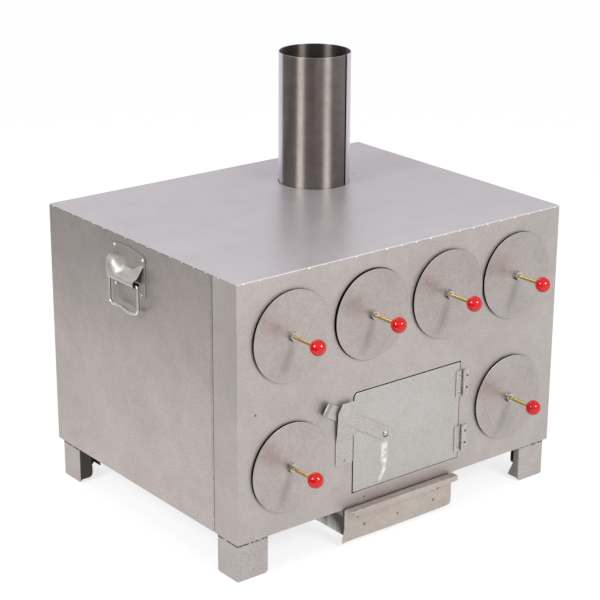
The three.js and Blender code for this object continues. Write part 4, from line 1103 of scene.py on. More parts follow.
# Ash tray
# It slides on two Z rails. Its face, top flange and pull lip are one 1.5 mm sheet, spot welded to a pan
# of thinner sheet with streaky painted shade where it runs under the cabinet. The lip stops short on the
# left, and the face's corner there is bent out.
tray_bend = 2.4
tray_lip_drop = 9.5
tray_flange = 17.5  # from the back of the face to the front of the lip
tray_corner = 8
tray_flare = 7
tray_flare_share = 0.42  # of the face's height
tray_flare_corner = 24
tray_lip_start = 7
tray_lip_slant = 1  # of the lip's left end
tray_lip_root = 1  # how far up the bend above the lip that end starts
tray_lip_corner = 2
tray_foot_corner = 1
tray_bow = 1.2
tray_bow_corner = 900
flare_reach = Vector((20, 24))  # of the bent corner, across and up
flare_depth = 1.5
flare_cuts = 5
pan_sheet = 1.2
pan_inset = 10
pan_floor = 9
pan_bend = 2
pan_back_play = 0.5
pan_back_corner = 1
pan_corner = 2
pan_notch_corner = 0.5
runner = 7
runner_top = 54
runner_bend = 1
runner_slope = 3  # from a runner's front to where the wall begins
pan_shade_rise = (8, 40)  # above the ground, over which the painted shade thickens
pan_shade_depth = (8, 34)  # behind the face, over which it thins
tray_spot = (2.9, 0.3)  # radius and height
tray_spot_places = ((-88, 28), (-14, 26), (68, 27))  # across and up
burnt_spot = (2.6, 0.35)
burnt_spot_places = ((-104, 46, 0.7), (78, 46.5, 1))  # across, up and size
rail_flange = 12
rail_bend_inner = 1
rail_corner = 1

tray_low, tray_high = extent("ash_tray")
tray_sheet = steel_finish("tray_sheet", pale=(190, 181, 172), dark=(156, 146, 137), metallic=0.65,
                          roughness=0.42, grain=320, lift=0.1, cloud=14, wear=0.9)
face_back = tray_low.y + tray_flange
face_run = tray_high.z - tray_low.z - tray_bend
lip_run = tray_lip_drop - tray_bend
tray_steps = [face_run, (90, tray_bend), tray_flange - 2 * tray_bend, (90, tray_bend), lip_run]
lip_from = run_length(tray_steps) - lip_run - tray_lip_root
lip_to = run_length(tray_steps)
face_outline = rounded([
    (tray_bow, tray_low.x - tray_flare, tray_foot_corner),
    (face_run * tray_flare_share, tray_low.x, tray_flare_corner),
    (lip_from, tray_low.x, tray_lip_corner), (lip_from, tray_low.x + tray_lip_start, tray_foot_corner),
    (lip_to, tray_low.x + tray_lip_start + tray_lip_slant, tray_lip_corner),
    (lip_to, tray_high.x, tray_lip_corner), (tray_bow, tray_high.x, tray_corner),
    (0, (tray_low.x + tray_high.x) / 2, tray_bow_corner),
])
tray_face = fold(blank(face_outline, sheet), tray_steps, (face_back, tray_low.z), 90,
                 lambda y, z, x: (x, y, z))
for cut in range(1, flare_cuts + 1):
    for place, normal in (((tray_low.x + flare_reach.x * cut / flare_cuts, 0, 0), east),
                          ((0, 0, tray_low.z + flare_reach.y * cut / flare_cuts), up)):
        geometry = [*tray_face.verts, *tray_face.edges, *tray_face.faces]
        bmesh.ops.bisect_plane(tray_face, geom=geometry, dist=cut_margin, plane_co=place,
                               plane_no=normal)
for vertex in tray_face.verts:
    across = max(0, 1 - (vertex.co.x - tray_low.x) / flare_reach.x)
    rise = max(0, 1 - (vertex.co.z - tray_low.z) / flare_reach.y)
    vertex.co.y -= flare_depth * across ** 2 * rise ** 2
finished(tray_face, "tray_face", tray_sheet, "ash_tray", ["ash_tray"])

pan_left = tray_low.x + pan_inset
pan_right = tray_high.x - pan_inset
pan_wall = runner_top - pan_sheet - runner_bend - pan_floor - pan_bend
pan_steps = [
    runner - runner_bend, (-90, runner_bend), pan_wall, (90, pan_bend),
    pan_right - pan_left - 2 * pan_bend,
    (90, pan_bend), pan_wall, (-90, runner_bend), runner - runner_bend,
]
pan_length = run_length(pan_steps)
pan_front = face_back + seat_gap
runner_front = front_low.y + seat_gap
pan_outline = rounded([
    (0, runner_front, pan_corner), (runner, runner_front, pan_notch_corner),
    (runner + runner_slope, pan_front, pan_notch_corner),
    (pan_length - runner - runner_slope, pan_front, pan_notch_corner),
    (pan_length - runner, runner_front, pan_notch_corner), (pan_length, runner_front, pan_corner),
    (pan_length, tray_high.y, pan_corner), (0, tray_high.y, pan_corner),
])
pan = fold(blank(pan_outline, pan_sheet), pan_steps, (pan_left - runner, runner_top - pan_sheet), 0,
           lambda x, z, y: (x, y, z))
pan_back = box_outline(pan_left + pan_sheet, pan_floor + pan_sheet, pan_right - pan_sheet, runner_top,
                       pan_back_corner)
added(pan, stand(blank(pan_back, pan_sheet), east, up, north,
                 (0, tray_high.y - pan_sheet - pan_back_play, 0)))
pan_steel = steel_finish("pan_steel", pale=(226, 224, 222), dark=(196, 193, 190), metallic=0.5,
                         roughness=0.45, grain=200, lift=0.05, cloud=40, wear=0.5)
pan_tree = pan_steel.node_tree
_, pan_y, pan_z = axes_of(pan_tree, surface(pan_tree))
# Painted shade on the pan, darkest near the cabinet above and the face in front, drawn out into streaks.
drawn_down = node_in(pan_tree, "ShaderNodeMapping", {"Vector": surface(pan_tree), "Scale": (1, 1, 0.16)})
runs = noise(pan_tree, drawn_down.outputs["Vector"], scale=110, detail=3)
pan_shade = maths(pan_tree, "ADD", faded(pan_tree, pan_z, 0, pan_shade_rise, 0, 0.75),
              faded(pan_tree, pan_y, face_back, pan_shade_depth, 1, 0))
pan_shade = maths(pan_tree, "ADD", pan_shade, runs)
stained(pan_steel, ranged(pan_tree, pan_shade, 0.5, 1.2, 0, 0.95), shade(42, 38, 37))
finished(pan, "tray_pan", pan_steel, "ash_tray", ["ash_tray"])

tray_spots = [((x, face_back - sheet, z), -north, 1) for x, z in tray_spot_places]
dark_spots = [((x, face_back - sheet, z), -north, size) for x, z, size in burnt_spot_places]
grey_mark = steel_finish("grey_mark", pale=(150, 141, 136), dark=(116, 108, 104), metallic=0.6,
                         roughness=0.45, grain=500, lift=0.05, wear=0)
heads("tray_spots", tray_spots, *tray_spot, grey_mark, "ash_tray", "textured_steel", ["ash_tray"], seed=4)
heads("tray_burnt_spots", dark_spots, *burnt_spot, spot_mark, "ash_tray", "textured_steel",
      ["ash_tray"], seed=5)

for node, side in (("tray_rail_left", 1), ("tray_rail_right", -1)):
    low, high = extent(node)
    outer_x = min(low.x * side, high.x * side)
    rail_steps = [rail_flange - rail_bend_inner, (-90, rail_bend_inner),
                  high.z - low.z - sheet - rail_bend_inner - tray_bend, (90, tray_bend),
                  high.x - low.x - rail_flange - tray_bend]
    rail_outline = box_outline(0, low.y, run_length(rail_steps), high.y, rail_corner)
    rail = fold(blank(rail_outline, sheet), rail_steps, (outer_x, high.z - sheet), 0,
                lambda x, z, y, side=side: (x * side, y, z))
    finished(rail, f"{node}_sheet", inner_steel, "housing", [node])

# Fire door
# One sheet pressed to a shallow tray: a flat face and a rim folded back all round, with one big round
# corner at the top left. It is patchy and wavy from heat, painted with shade along its left and top rim,
# and scuffed.
door_bend = 2.2
door_small_corner = 3
door_corner_steps = 8
bolt_radius = 3.5
bolt_sides = 32
rim_steps = 5
rim_shade_depth = (0.3, 1)  # behind the front's face, over which the rim's painted shade sets in
shaded_left = (4, 6)  # from the door's left edge, inside which it does
shaded_top = (-6, -4)  # and from its top
scuff_lean = (92, 114)  # heights between which the scuff leans
scuff_middles = (-57, -43.5)  # its middle at those heights
scuff_widening = (122, 134)  # heights between which it widens
scuff_halves = (5.5, 9)  # its half widths at those heights
scuff_foot = (91, 100)  # heights over which it begins
scuff_head = (158, 168)  # heights over which it ends
door_wave = 1.1

door_sheet = steel_finish("door_sheet", pale=(184, 181, 177), dark=(162, 159, 154), metallic=0.6,
                          roughness=0.42, grain=300, cloud=16, wear=0.9, grain_share=0.6)
door_tree = door_sheet.node_tree
door_shader = door_tree.nodes["Principled BSDF"]
door_x, door_y, door_z = axes_of(door_tree, surface(door_tree))
# Painted shade on the rim at the door's left and top, where it sits in the gap.
shaded_sides = maths(door_tree, "MAXIMUM", faded(door_tree, door_x, door_low.x, shaded_left, 1, 0),
                    faded(door_tree, door_z, door_high.z, shaded_top, 0, 1))
rim_shaded = multiplied(door_tree, faded(door_tree, door_y, front_low.y, rim_shade_depth, 0, 1), shaded_sides)
stained(door_sheet, rim_shaded, gap_shade)
scuff_from, scuff_to = [middle * METRE for middle in scuff_middles]
narrow_half, wide_half = [half * METRE for half in scuff_halves]
scuff_middle = faded(door_tree, door_z, 0, scuff_lean, scuff_from, scuff_to)
scuff_half = faded(door_tree, door_z, 0, scuff_widening, narrow_half, wide_half)
from_scuff = maths(door_tree, "ABSOLUTE", maths(door_tree, "SUBTRACT", door_x, scuff_middle))
from_scuff = maths(door_tree, "DIVIDE", from_scuff, scuff_half)
stained(door_sheet, multiplied(
    door_tree,
    ranged(door_tree, from_scuff, 0.5, 1, 1, 0),
    faded(door_tree, door_z, 0, scuff_foot, 0, 1),
    faded(door_tree, door_z, 0, scuff_head, 1, 0),
    ranged(door_tree, noise(door_tree, surface(door_tree), scale=75, detail=3), 0.4, 0.6, 0.15, 0.9),
), shade(232, 234, 230))
waves = noise(door_tree, surface(door_tree), scale=45, detail=4, roughness=0.62, distortion=1.6)
fine_bump = door_shader.inputs["Normal"].links[0].from_node
wavy = node_in(door_tree, "ShaderNodeBump", {"Height": waves, "Strength": 0.5,
                                             "Distance": door_wave * METRE,
                                             "Normal": fine_bump.outputs["Normal"]})
door_tree.links.new(wavy.outputs["Normal"], door_shader.inputs["Normal"])


def rim_profile(bend, thickness, depth):
    """(Inset, depth) points of a folded rim, from the front face round its free edge to the inside."""
    turns = [math.pi / 2 * step / rim_steps for step in range(rim_steps + 1)]
    outside = [(bend - bend * math.sin(turn), bend - bend * math.cos(turn)) for turn in turns]
    inner_bend = bend - thickness
    inside = [(bend - inner_bend * math.sin(turn), bend - inner_bend * math.cos(turn)) for turn in turns]
    free_edge = [(0, depth - soft_edge), (soft_edge, depth), (thickness - soft_edge, depth),
                 (thickness, depth - soft_edge)]
    return [*outside, *free_edge, *inside[::-1]]


bolt_low, bolt_high = extent("latch_bolt")
pivot = (bolt_low + bolt_high) / 2
door_outline = rounded([
    (door_low.x, door_low.z, door_small_corner), (door_high.x, door_low.z, door_small_corner),
    (door_high.x, door_high.z, door_small_corner), (door_low.x, door_high.z, door_corner),
], steps=door_corner_steps)
door_bore = circle(pivot.x, pivot.z, bolt_radius + seat_gap, bolt_sides)[::-1]
door = bmesh.new()
door_loops = [[door.verts.new((*point, depth)) for point in moved_in(door_outline, inset)]
              for inset, depth in rim_profile(door_bend, sheet, door_high.y - door_low.y)]
bore_loops = [[door.verts.new((*point, depth)) for point in door_bore] for depth in (0, sheet)]
join_loops(door, door_loops)
join_loops(door, bore_loops)
fill(door, [door_loops[0], bore_loops[0]])
fill(door, [door_loops[-1], bore_loops[1]])
stand(door, east, up, north, (0, door_low.y, 0))
finished(door, "fire_door_pan", door_sheet, "fire_door", ["fire_door"])

# Hinges
# Two zinc-plated butt hinges, each with rolled knuckles on a peened pin. One leaf is riveted to the
# door and the other to the front.
leaf_sheet = 1.2
leaf_corner = 1
frame_leaf = 12
door_leaf = 16
hinge_length = 47
knuckle_radius = 3
pin_radius = 1.4
pin_sides = 20
pin_end = 0.5  # how long its rounded ends are
pin_tip = (0.1, 0.7)  # depth of their outer ring, and its share of the radius
hinge_rivet = 2.2
hinge_rivet_height = 1.1
rivet_inset = 3
notch_corner = 0.3
leaf_edge = 0.2
knuckle_edge = 0.4
knuckle_sides = 28
knuckle = (hinge_length - 2 * seat_gap) / 3
knuckle_space = knuckle_radius + 2 * seat_gap

hinge_zinc = steel_finish("hinge_zinc", pale=(204, 200, 194), dark=(150, 144, 138), metallic=0.85,
                          roughness=0.34, grain=420, lift=0.06, cloud=30, wear=0.9)
dark_rivet = steel_finish("dark_rivet", pale=(66, 60, 57), dark=(34, 31, 30), metallic=0.6,
                          roughness=0.45, grain=500, lift=0.06, cloud=60, wear=0.4)


def knuckle_ring(low, high):
    """A rolled knuckle about the pin, with softened ends."""
    bore_radius = pin_radius + seat_gap
    return turned([
        (bore_radius, low + soft_edge), (bore_radius + soft_edge, low),
        (knuckle_radius - knuckle_edge, low), (knuckle_radius, low + knuckle_edge),
        (knuckle_radius, high - knuckle_edge), (knuckle_radius - knuckle_edge, high),
        (bore_radius + soft_edge, high), (bore_radius, high - soft_edge),
    ], knuckle_sides, closed=True)


for place in ("upper", "lower"):
    pin_low, pin_high = extent(f"hinge_{place}_pin")
    leaf_low, leaf_high = extent(f"hinge_{place}_frame_leaf")
    axis = (pin_low + pin_high) / 2
    foot = leaf_low.z
    on_pin = Matrix.Translation((axis.x, axis.y, foot))
    leaf_depth = Matrix.Translation((axis.x, leaf_high.y - leaf_sheet, foot)) @ along_depth
    middle_low = knuckle
    middle_high = hinge_length - knuckle
    frame_side = blank(rounded([
        (0, 0, notch_corner), (frame_leaf, 0, leaf_corner), (frame_leaf, hinge_length, leaf_corner),
        (0, hinge_length, notch_corner), (0, middle_high, notch_corner),
        (knuckle_space, middle_high, notch_corner), (knuckle_space, middle_low, notch_corner),
        (0, middle_low, notch_corner),
    ], steps=3), leaf_sheet, edge=leaf_edge)
    frame_side.transform(leaf_depth)
    for low, high in ((0, middle_low), (middle_high, hinge_length)):
        ring = knuckle_ring(low, high)
        ring.transform(on_pin)
        added(frame_side, ring)
    finished(frame_side, f"{place}_hinge_frame_leaf", hinge_zinc, "housing",
             [f"hinge_{place}_frame_leaf"])

    door_side = blank(rounded([
        (-door_leaf, 0, leaf_corner), (-knuckle_space, 0, notch_corner),
        (-knuckle_space, middle_low + seat_gap, notch_corner), (0, middle_low + seat_gap, notch_corner),
        (0, middle_high - seat_gap, notch_corner), (-knuckle_space, middle_high - seat_gap, notch_corner),
        (-knuckle_space, hinge_length, notch_corner), (-door_leaf, hinge_length, leaf_corner),
    ], steps=3), leaf_sheet, edge=leaf_edge)
    door_side.transform(leaf_depth)
    ring = knuckle_ring(middle_low + seat_gap, middle_high - seat_gap)
    ring.transform(on_pin)
    added(door_side, ring)
    finished(door_side, f"{place}_hinge_door_leaf", hinge_zinc, "fire_door",
             [f"hinge_{place}_door_leaf"])

    pin_length = pin_high.z - pin_low.z
    tip_depth, tip_share = pin_tip
    pin = turned([
        (0, 0), (pin_radius * tip_share, tip_depth), (pin_radius, pin_end),
        (pin_radius, pin_length - pin_end), (pin_radius * tip_share, pin_length - tip_depth),
        (0, pin_length),
    ], pin_sides)
    pin.transform(Matrix.Translation((axis.x, axis.y, pin_low.z)))
    finished(pin, f"{place}_hinge_pin", bright_nut, "housing", [f"hinge_{place}_pin"])

    leaf_face = leaf_high.y - leaf_sheet
    frame_rivets = [((axis.x + frame_leaf - rivet_inset, leaf_face, foot + rise), -north, 1)
                    for rise in (middle_low - rivet_inset, middle_high + rivet_inset)]
    heads(f"{place}_hinge_frame_rivets", frame_rivets, hinge_rivet, hinge_rivet_height, dark_rivet,
          "housing", "zinc_steel", [f"hinge_{place}_frame_leaf"], seed=11)
    door_rivets = [((axis.x - door_leaf / 2, leaf_face, foot + rise), -north, 1)
                   for rise in (knuckle / 2, hinge_length - knuckle / 2)]
    heads(f"{place}_hinge_door_rivets", door_rivets, hinge_rivet, hinge_rivet_height, bright_nut,
          "fire_door", "zinc_steel", [f"hinge_{place}_door_leaf"], seed=12)

# Latch
# A flat steel arm turns on a bolt through the door, and its bent tip drops behind a keeper, which is
# a strip of sheet riveted flat to the front below and stepped out above as an open pocket.
arm_sheet = 2.5
arm_width = 22.7
arm_angle = math.radians(31)
arm_length = 141.5
arm_tip = 18  # length of the bent tip
arm_fold = 28  # degrees that it is bent by
arm_fold_radius = 4.5
arm_tip_corner = 3
arm_edge = 0.4
eye_steps = 20
bolt_head_radius = 5.6
bolt_head_height = 3.2
bolt_dimple = Vector((1.5, 1.6))  # radius and depth
bolt_dome = ((0.5, 0.25), (0.85, 1.1), (1, 2.2))  # shares of the head's radius, and depths from its top
bolt_end = 1.6  # past the nut
bolt_point = 0.8
keeper_bend_rise = 11  # above the arm's pivot, where the keeper starts to step out
keeper_step_rise = 26  # where it ends
keeper_step = 3.2  # how far it steps out
keeper_lean = 3.6  # how much further out its top leans
keeper_chamfer = Vector((14, 8))
keeper_fold_radius = 5
keeper_edge = 0.4
keeper_corner = 2
keeper_chamfer_corner = 1.5
keeper_rivet_drop = 25
keeper_rivet = (1.5, 0.8)  # radius and height

arm_steel = steel_finish("arm_steel", pale=(188, 183, 178), dark=(160, 154, 149), metallic=0.75,
                         roughness=0.38, grain=380, lift=0.08, cloud=22, wear=1, grain_share=0.7)
_, arm_high = extent("latch_arm")
fold_reach = arm_fold_radius * math.tan(math.radians(arm_fold) / 2)
arm_steps = [arm_length - fold_reach, (arm_fold, arm_fold_radius), arm_tip - fold_reach]
eye_turns = [math.pi * step / eye_steps for step in range(eye_steps + 1)]
eye = [Vector((-math.sin(turn), math.cos(turn))) * arm_width / 2 for turn in eye_turns]
arm_end = run_length(arm_steps)
tip_corners = rounded([(arm_end, arm_width / 2, arm_tip_corner), (0, arm_width / 2, 0),
                       (0, -arm_width / 2, 0), (arm_end, -arm_width / 2, arm_tip_corner)])
arm_outline = [point for point in tip_corners if point.x > 0]
arm_outline = arm_outline[:len(arm_outline) // 2] + eye + arm_outline[len(arm_outline) // 2:]
arm_along = Vector((-math.cos(arm_angle), math.sin(arm_angle)))
arm_across = Vector((-math.sin(arm_angle), -math.cos(arm_angle)))


def on_arm(along, out, across):
    """A place on the arm, from its pivot."""
    place = pivot.xz + arm_along * along + arm_across * across
    return (place.x, arm_high.y - out, place.y)


arm_bore = circle(0, 0, bolt_radius + seat_gap, bolt_sides)
arm = fold(blank(arm_outline, arm_sheet, [arm_bore], arm_edge), arm_steps, (0, 0), 0, on_arm)
finished(arm, "latch_bar", arm_steel, "latch", ["latch_arm"])

bolt_front = arm_high.y - arm_sheet - seat_gap
bolt_top = bolt_front - bolt_head_height
nut_front = door_low.y + sheet + seat_gap
bolt_back = nut_front + nut_height + bolt_end
bolt = turned([
    (0, bolt_top + bolt_dimple.y), (bolt_dimple.x, bolt_top + bolt_dimple.y), (bolt_dimple.x, bolt_top),
    *[(bolt_head_radius * share, bolt_top + depth) for share, depth in bolt_dome],
    (bolt_head_radius, bolt_front), (bolt_radius, bolt_front), (bolt_radius, bolt_back - bolt_point),
    (bolt_radius - bolt_point, bolt_back), (0, bolt_back),
], bolt_sides)
bolt_bore = circle(0, 0, bolt_radius + nut_play, bolt_sides)
bolt_nut = blank(hexagon, nut_height, [bolt_bore], nut_edge)
bolt_nut.transform(Matrix.Translation((0, 0, nut_front)))
added(bolt, bolt_nut)
bolt.transform(Matrix.Translation((pivot.x, 0, pivot.z)) @ along_depth)
finished(bolt, "latch_pivot_bolt", bright_nut, "fire_door", ["latch_bolt"])

keeper_low, keeper_high = extent("latch_keeper")
step_angle = math.degrees(math.atan2(keeper_step, keeper_step_rise - keeper_bend_rise))
lean_run = keeper_high.z - pivot.z - keeper_step_rise
lean_angle = math.degrees(math.atan2(keeper_lean, lean_run))
first_reach = keeper_fold_radius * math.tan(math.radians(step_angle) / 2)
second_reach = keeper_fold_radius * math.tan(math.radians(step_angle - lean_angle) / 2)
step_run = (keeper_step_rise - keeper_bend_rise) / math.cos(math.radians(step_angle))
keeper_steps = [
    pivot.z + keeper_bend_rise - keeper_low.z - first_reach, (step_angle, keeper_fold_radius),
    step_run - first_reach - second_reach,
    (lean_angle - step_angle, keeper_fold_radius),
    lean_run / math.cos(math.radians(lean_angle)) - second_reach,
]
keeper_length = run_length(keeper_steps)
keeper_outline = rounded([
    (0, keeper_low.x, keeper_corner),
    (keeper_length - keeper_chamfer.x, keeper_low.x, keeper_chamfer_corner),
    (keeper_length, keeper_low.x + keeper_chamfer.y, keeper_chamfer_corner),
    (keeper_length, keeper_high.x, keeper_corner), (0, keeper_high.x, keeper_corner),
])
keeper = fold(blank(keeper_outline, sheet, edge=keeper_edge), keeper_steps, (keeper_low.z, 0), 0,
              lambda z, out, x: (x, keeper_high.y - out, z))
finished(keeper, "keeper_strip", arm_steel, "housing", ["latch_keeper"])
rivet_place = ((keeper_low.x + keeper_high.x) / 2, keeper_high.y - sheet, pivot.z - keeper_rivet_drop)
heads("keeper_rivet", [(rivet_place, -north, 1)], *keeper_rivet, dark_rivet, "housing", "zinc_steel",
      ["latch_keeper"], seed=13)

# Loose rivets and dots
# Two small rivets, one below the door's lower corner and one near the front's left edge, a burnt dot
# low on the door, and a few beads of weld spatter left on the top sheet.
loose_heads = (  # name, place, radius, height, body, node and seed
    ("door_dot", (-59.5, door_low.y, 95.6), 1.1, 0.3, "fire_door", "fire_door", 16),
    ("front_foot_rivet", (-86.3, front_low.y, 76.2), 1.9, 0.9, "housing", "front_panel", 14),
    ("front_edge_rivet", (-313.6, front_low.y, 283), 2.2, 0.8, "housing", "front_panel", 15),
)
spatter_bead = (1.6, 0.5)  # radius and height
spatter_places = ((196.9, 140.2, 1), (264.4, -24.5, 0.6), (204.5, -150.1, 0.6))  # x, y and size
for name, place, radius, height, body, node, seed in loose_heads:
    heads(name, [(place, -north, 1)], radius, height, dark_rivet, body, "textured_steel", [node], seed)
spatter = [((x, y, top_high.z), up, size) for x, y, size in spatter_places]
heads("top_spatter", spatter, *spatter_bead, dark_rivet, "housing", "satin_steel", ["top_panel"], seed=18)

# Side handles
# A pressed plate riveted to each side. Its middle is bent out and down as a hood, painted with shade
# underneath, that bulges on its far side and whose edge is curled round a bail of 5 mm zinc-plated wire,
# which has painted shade on its side towards the panel.
plate_far_drop = 18  # cabinet's top to the plate's top corners
plate_near_drop = 22
plate_arch = 6  # rise of the plate's top edge
plate_corner = 6
plate_sheet = 1.5
plate_edge = 0.4
arch_steps = 20
corner_steps = 6
hood_sheet = 1.2
hood_root_drop = 37  # cabinet's top to where the hood leaves the plate
hood_root_half = 47.5  # half the hood's width there and at its curl
hood_curl_half = 38
curl_radius = 7
curl_end = math.radians(-165)
slim_curl_start = math.radians(66)  # where the curl begins on the hood's slim near side
slim_lean = Vector((5, -5))  # how its section leaves the plate
slim_run = 6  # and how straight it meets the curl
full_rise = 1.5  # the same for the bulging far side
full_run = 14
bulge_fades = (-34, -4)  # along the side, over which the bulge ends
notch_depth = 13  # how much lower the hood leaves the plate in its middle
notch_far = (-33, -6)  # along the side, over which that line sinks
notch_near = (8, 44)  # and rises again
hood_steps = 72
bulge_steps = 18
curl_steps = 32
wire_radius = 2.5
wire_sides = 16
bail_reach = 11.5  # out of the side to the wire's middle
bail_drop = 49  # from the wire's ends to its bar
bail_half = 42.5  # half its width over the wire's middle
bail_end_half = 28  # from its middle to where its ends stop
bail_upper = 4  # radii of its upper and lower corners
bail_lower = 10
bail_upper_steps = 8
bail_lower_steps = 12
bail_bar_steps = 24
bail_wave = 2  # of its bar, which isn't quite straight
bail_end_share = 0.75  # of the wire's radius, at its rounded ends
bail_end_length = 0.7
panel_side_shade = (-0.4, 1.2)  # from the wire's middle, over which the painted shade on the side towards the panel ends
rivet_radius = 3
rivet_height = 1.6
rivet_far = 12  # a plate's rivets from its side edges
rivet_near = 4.5
rivet_low_near = 9
rivet_down = 4.5  # and from its top and foot
rivet_rise = 6

handle_sheet = steel_finish("handle_sheet", pale=(196, 191, 187), dark=(166, 160, 156), metallic=0.7,
                            roughness=0.5, grain=330, lift=0.1, cloud=26, wear=0.9)
handle_tree = handle_sheet.node_tree
# Painted shade under the hood.
under_hood_shade = node_in(handle_tree, "ShaderNodeAttribute", attribute_name="inner").outputs["Fac"]
stained(handle_sheet, under_hood_shade, shade(30, 27, 26))
bail_zinc = steel_finish("bail_zinc", pale=(232, 227, 222), dark=(208, 202, 197), metallic=0.85,
                         roughness=0.3, grain=420, lift=0.006, grain_share=0.15, wear=0.2)
# Painted shade on the side of the wire that faces the panel.
bail_tree = bail_zinc.node_tree
from_middle = maths(bail_tree, "ABSOLUTE", axes_of(bail_tree, surface(bail_tree))[0])
stained(bail_zinc, faded(bail_tree, from_middle, front_high.x + bail_reach, panel_side_shade, 0.9, 0),
        shade(52, 47, 45))


def eased(value, low, high):
    """0 below a range, 1 above it, and a smooth step between."""
    share = min(max((value - low) / (high - low), 0), 1)
    return share * share * (3 - 2 * share)


def mixed(low, high, share):
    """A value between two."""
    return low + (high - low) * share


def arc_points(centre, radius, start, end, steps):
    """Points along an arc, both ends among them."""
    turns = [mixed(start, end, step / steps) for step in range(steps + 1)]
    return [Vector(centre) + Vector((math.cos(turn), math.sin(turn))) * radius for turn in turns]


def hood_section(root, curl_centre, full):
    """One section of the hood, from its root round the curl, as a band of even thickness."""
    begin = mixed(slim_curl_start, 0, full)
    curl = arc_points(curl_centre, curl_radius, begin, curl_end, curl_steps)
    leave = (root + slim_lean).lerp(Vector((curl_centre.x + curl_radius, root.y + full_rise)), full)
    arrive = curl[0] + Vector((-math.sin(begin), math.cos(begin))) * mixed(slim_run, full_run, full)
    line = []
    for step in range(bulge_steps):
        share = step / bulge_steps
        rest = 1 - share
        line.append(root * rest ** 3 + leave * 3 * rest ** 2 * share + arrive * 3 * rest * share ** 2
                    + curl[0] * share ** 3)
    line += curl
    sides = [[], []]
    for place, point in enumerate(line):
        way = (line[min(place + 1, len(line) - 1)] - line[max(place - 1, 0)]).normalized()
        for side, factor in zip(sides, (0.5, -0.5)):
            side.append(point + Vector((-way.y, way.x)) * hood_sheet * factor)
    return sides[0] + sides[1][::-1]


def hood_shape(cabinet_top, curl_centre):
    """The hood, with x out of the side, y along it and z up."""
    shape = bmesh.new()
    # Marks the underside, which the finish paints in shade.
    inner = shape.verts.layers.float.new("inner")
    rows = []
    for place in range(hood_steps + 1):
        share = 2 * place / hood_steps - 1
        reach = share * hood_root_half
        dip = eased(reach, *notch_far) * (1 - eased(reach, *notch_near)) * notch_depth
        root = Vector((seat_gap + plate_sheet / 2, cabinet_top - hood_root_drop - dip))
        section = hood_section(root, curl_centre, 1 - eased(reach, *bulge_fades))
        row = []
        for order, point in enumerate(section):
            along = min(order, len(section) - 1 - order) / bulge_steps
            half = mixed(hood_root_half, hood_curl_half, min(along, 1))
            row.append(shape.verts.new((point.x, share * half, point.y)))
            row[-1][inner] = order >= len(section) / 2
        rows.append(row)
    join_loops(shape, rows)
    for row in (rows[0], rows[-1]):
        for order in range(len(row) // 2 - 1):
            shape.faces.new((row[order], row[order + 1], row[-2 - order], row[-1 - order]))
    return shape


def bail_shape():
    """The bail's wire in the plane of y and z, its turned-in ends on the y axis."""
    quarter = math.pi / 2
    bar_half = bail_half - bail_lower
    upper_corner = arc_points((bail_half - bail_upper, -bail_upper), bail_upper, quarter, 0,
                              bail_upper_steps)
    lower_corner = arc_points((bar_half, -bail_drop + bail_lower), bail_lower, 0, -quarter,
                              bail_lower_steps)
    right = [Vector((bail_end_half, 0)), *upper_corner, *lower_corner]
    left = [Vector((-point.x, point.y)) for point in right[::-1]]
    bar = []
    for step in range(1, bail_bar_steps):
        share = step / bail_bar_steps
        wave = bail_wave * math.sin(2 * math.pi * share)
        bar.append(Vector((bar_half * (1 - 2 * share), -bail_drop - wave)))
    route = right + bar + left
    shape = bmesh.new()
    rings = []
    for place, point in enumerate(route):
        way = (route[min(place + 1, len(route) - 1)] - route[max(place - 1, 0)]).normalized()
        across = Vector((-way.y, way.x))
        ring = [(spoke.x, point.x + across.x * spoke.y, point.y + across.y * spoke.y)
                for spoke in circle(0, 0, wire_radius, wire_sides)]
        rings.append([shape.verts.new(corner) for corner in ring])
    for end, inner in ((0, 1), (-1, -1)):
        centre = sum((vertex.co for vertex in rings[end]), Vector()) / wire_sides
        outward = (route[end] - route[end + inner]).normalized()
        tip = centre + Vector((0, *outward)) * bail_end_length
        rim = [shape.verts.new(tip + (vertex.co - centre) * bail_end_share) for vertex in rings[end]]
        shape.faces.new(rim)
        rings = [rim, *rings] if end == 0 else [*rings, rim]
    join_loops(shape, rings)
    return shape


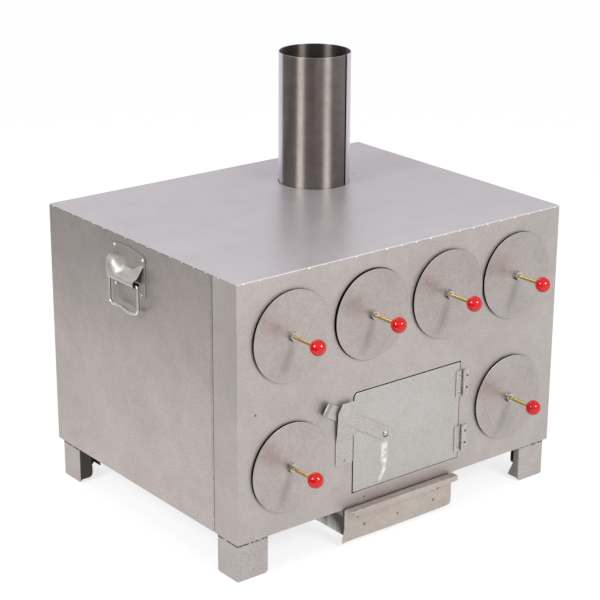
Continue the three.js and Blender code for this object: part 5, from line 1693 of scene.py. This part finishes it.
cabinet_top = top_high.z
for name, side in (("left", -1), ("right", 1)):
    low, high = extent(f"handle_plate_{name}")
    _, wire_high = extent(f"bail_{name}")
    half = (high.y - low.y) / 2
    bail_z = wire_high.z - wire_radius
    in_place = Matrix.Translation((side * front_high.x, (low.y + high.y) / 2, 0))
    in_place = in_place @ Matrix.Diagonal((side, side, 1, 1))
    plate_foot = low.z
    arch = []
    for step in range(arch_steps + 1):
        share = step / arch_steps
        top_here = cabinet_top - mixed(plate_near_drop, plate_far_drop, share)
        arch.append(Vector((half * (1 - 2 * share), top_here + plate_arch * math.sin(math.pi * share))))
    corner_z = plate_foot + plate_corner
    far_corner = arc_points((plate_corner - half, corner_z), plate_corner, math.pi, 1.5 * math.pi,
                            corner_steps)
    near_corner = arc_points((half - plate_corner, corner_z), plate_corner, -math.pi / 2, 0, corner_steps)
    plate_blank = blank(far_corner + near_corner + arch, plate_sheet, edge=plate_edge)
    plate = stand(plate_blank, north, up, east, (seat_gap, 0, 0))
    plate.transform(in_place)
    finished(plate, f"{name}_handle_plate", side_sheet, "housing",
             [f"handle_plate_{name}"])

    curl_centre = Vector((bail_reach, bail_z + curl_radius - hood_sheet / 2 - wire_radius - seat_gap))
    hood = hood_shape(cabinet_top, curl_centre)
    hood.transform(in_place)
    finished(hood, f"{name}_handle_hood", handle_sheet, "housing",
             [f"handle_plate_{name}"], crease=50)

    far_rivet_z = cabinet_top - plate_far_drop - rivet_down + plate_arch / 2
    rivet_places = [
        (rivet_far - half, far_rivet_z), (half - rivet_near, cabinet_top - plate_near_drop - rivet_down),
        (rivet_far - half, plate_foot + rivet_rise), (half - rivet_low_near, plate_foot + rivet_rise),
    ]
    rivets = [(in_place @ Vector((seat_gap + plate_sheet, y, z)), east * side, 1) for y, z in rivet_places]
    heads(f"{name}_handle_rivets", rivets, rivet_radius, rivet_height, bright_bead, "housing",
          "textured_steel", [f"handle_plate_{name}"], seed=17)

    bail = bail_shape()
    bail.transform(in_place @ Matrix.Translation((bail_reach, 0, bail_z)))
    finished(bail, f"{name}_bail_wire", bail_zinc, f"bail_{name}", [f"bail_{name}"])
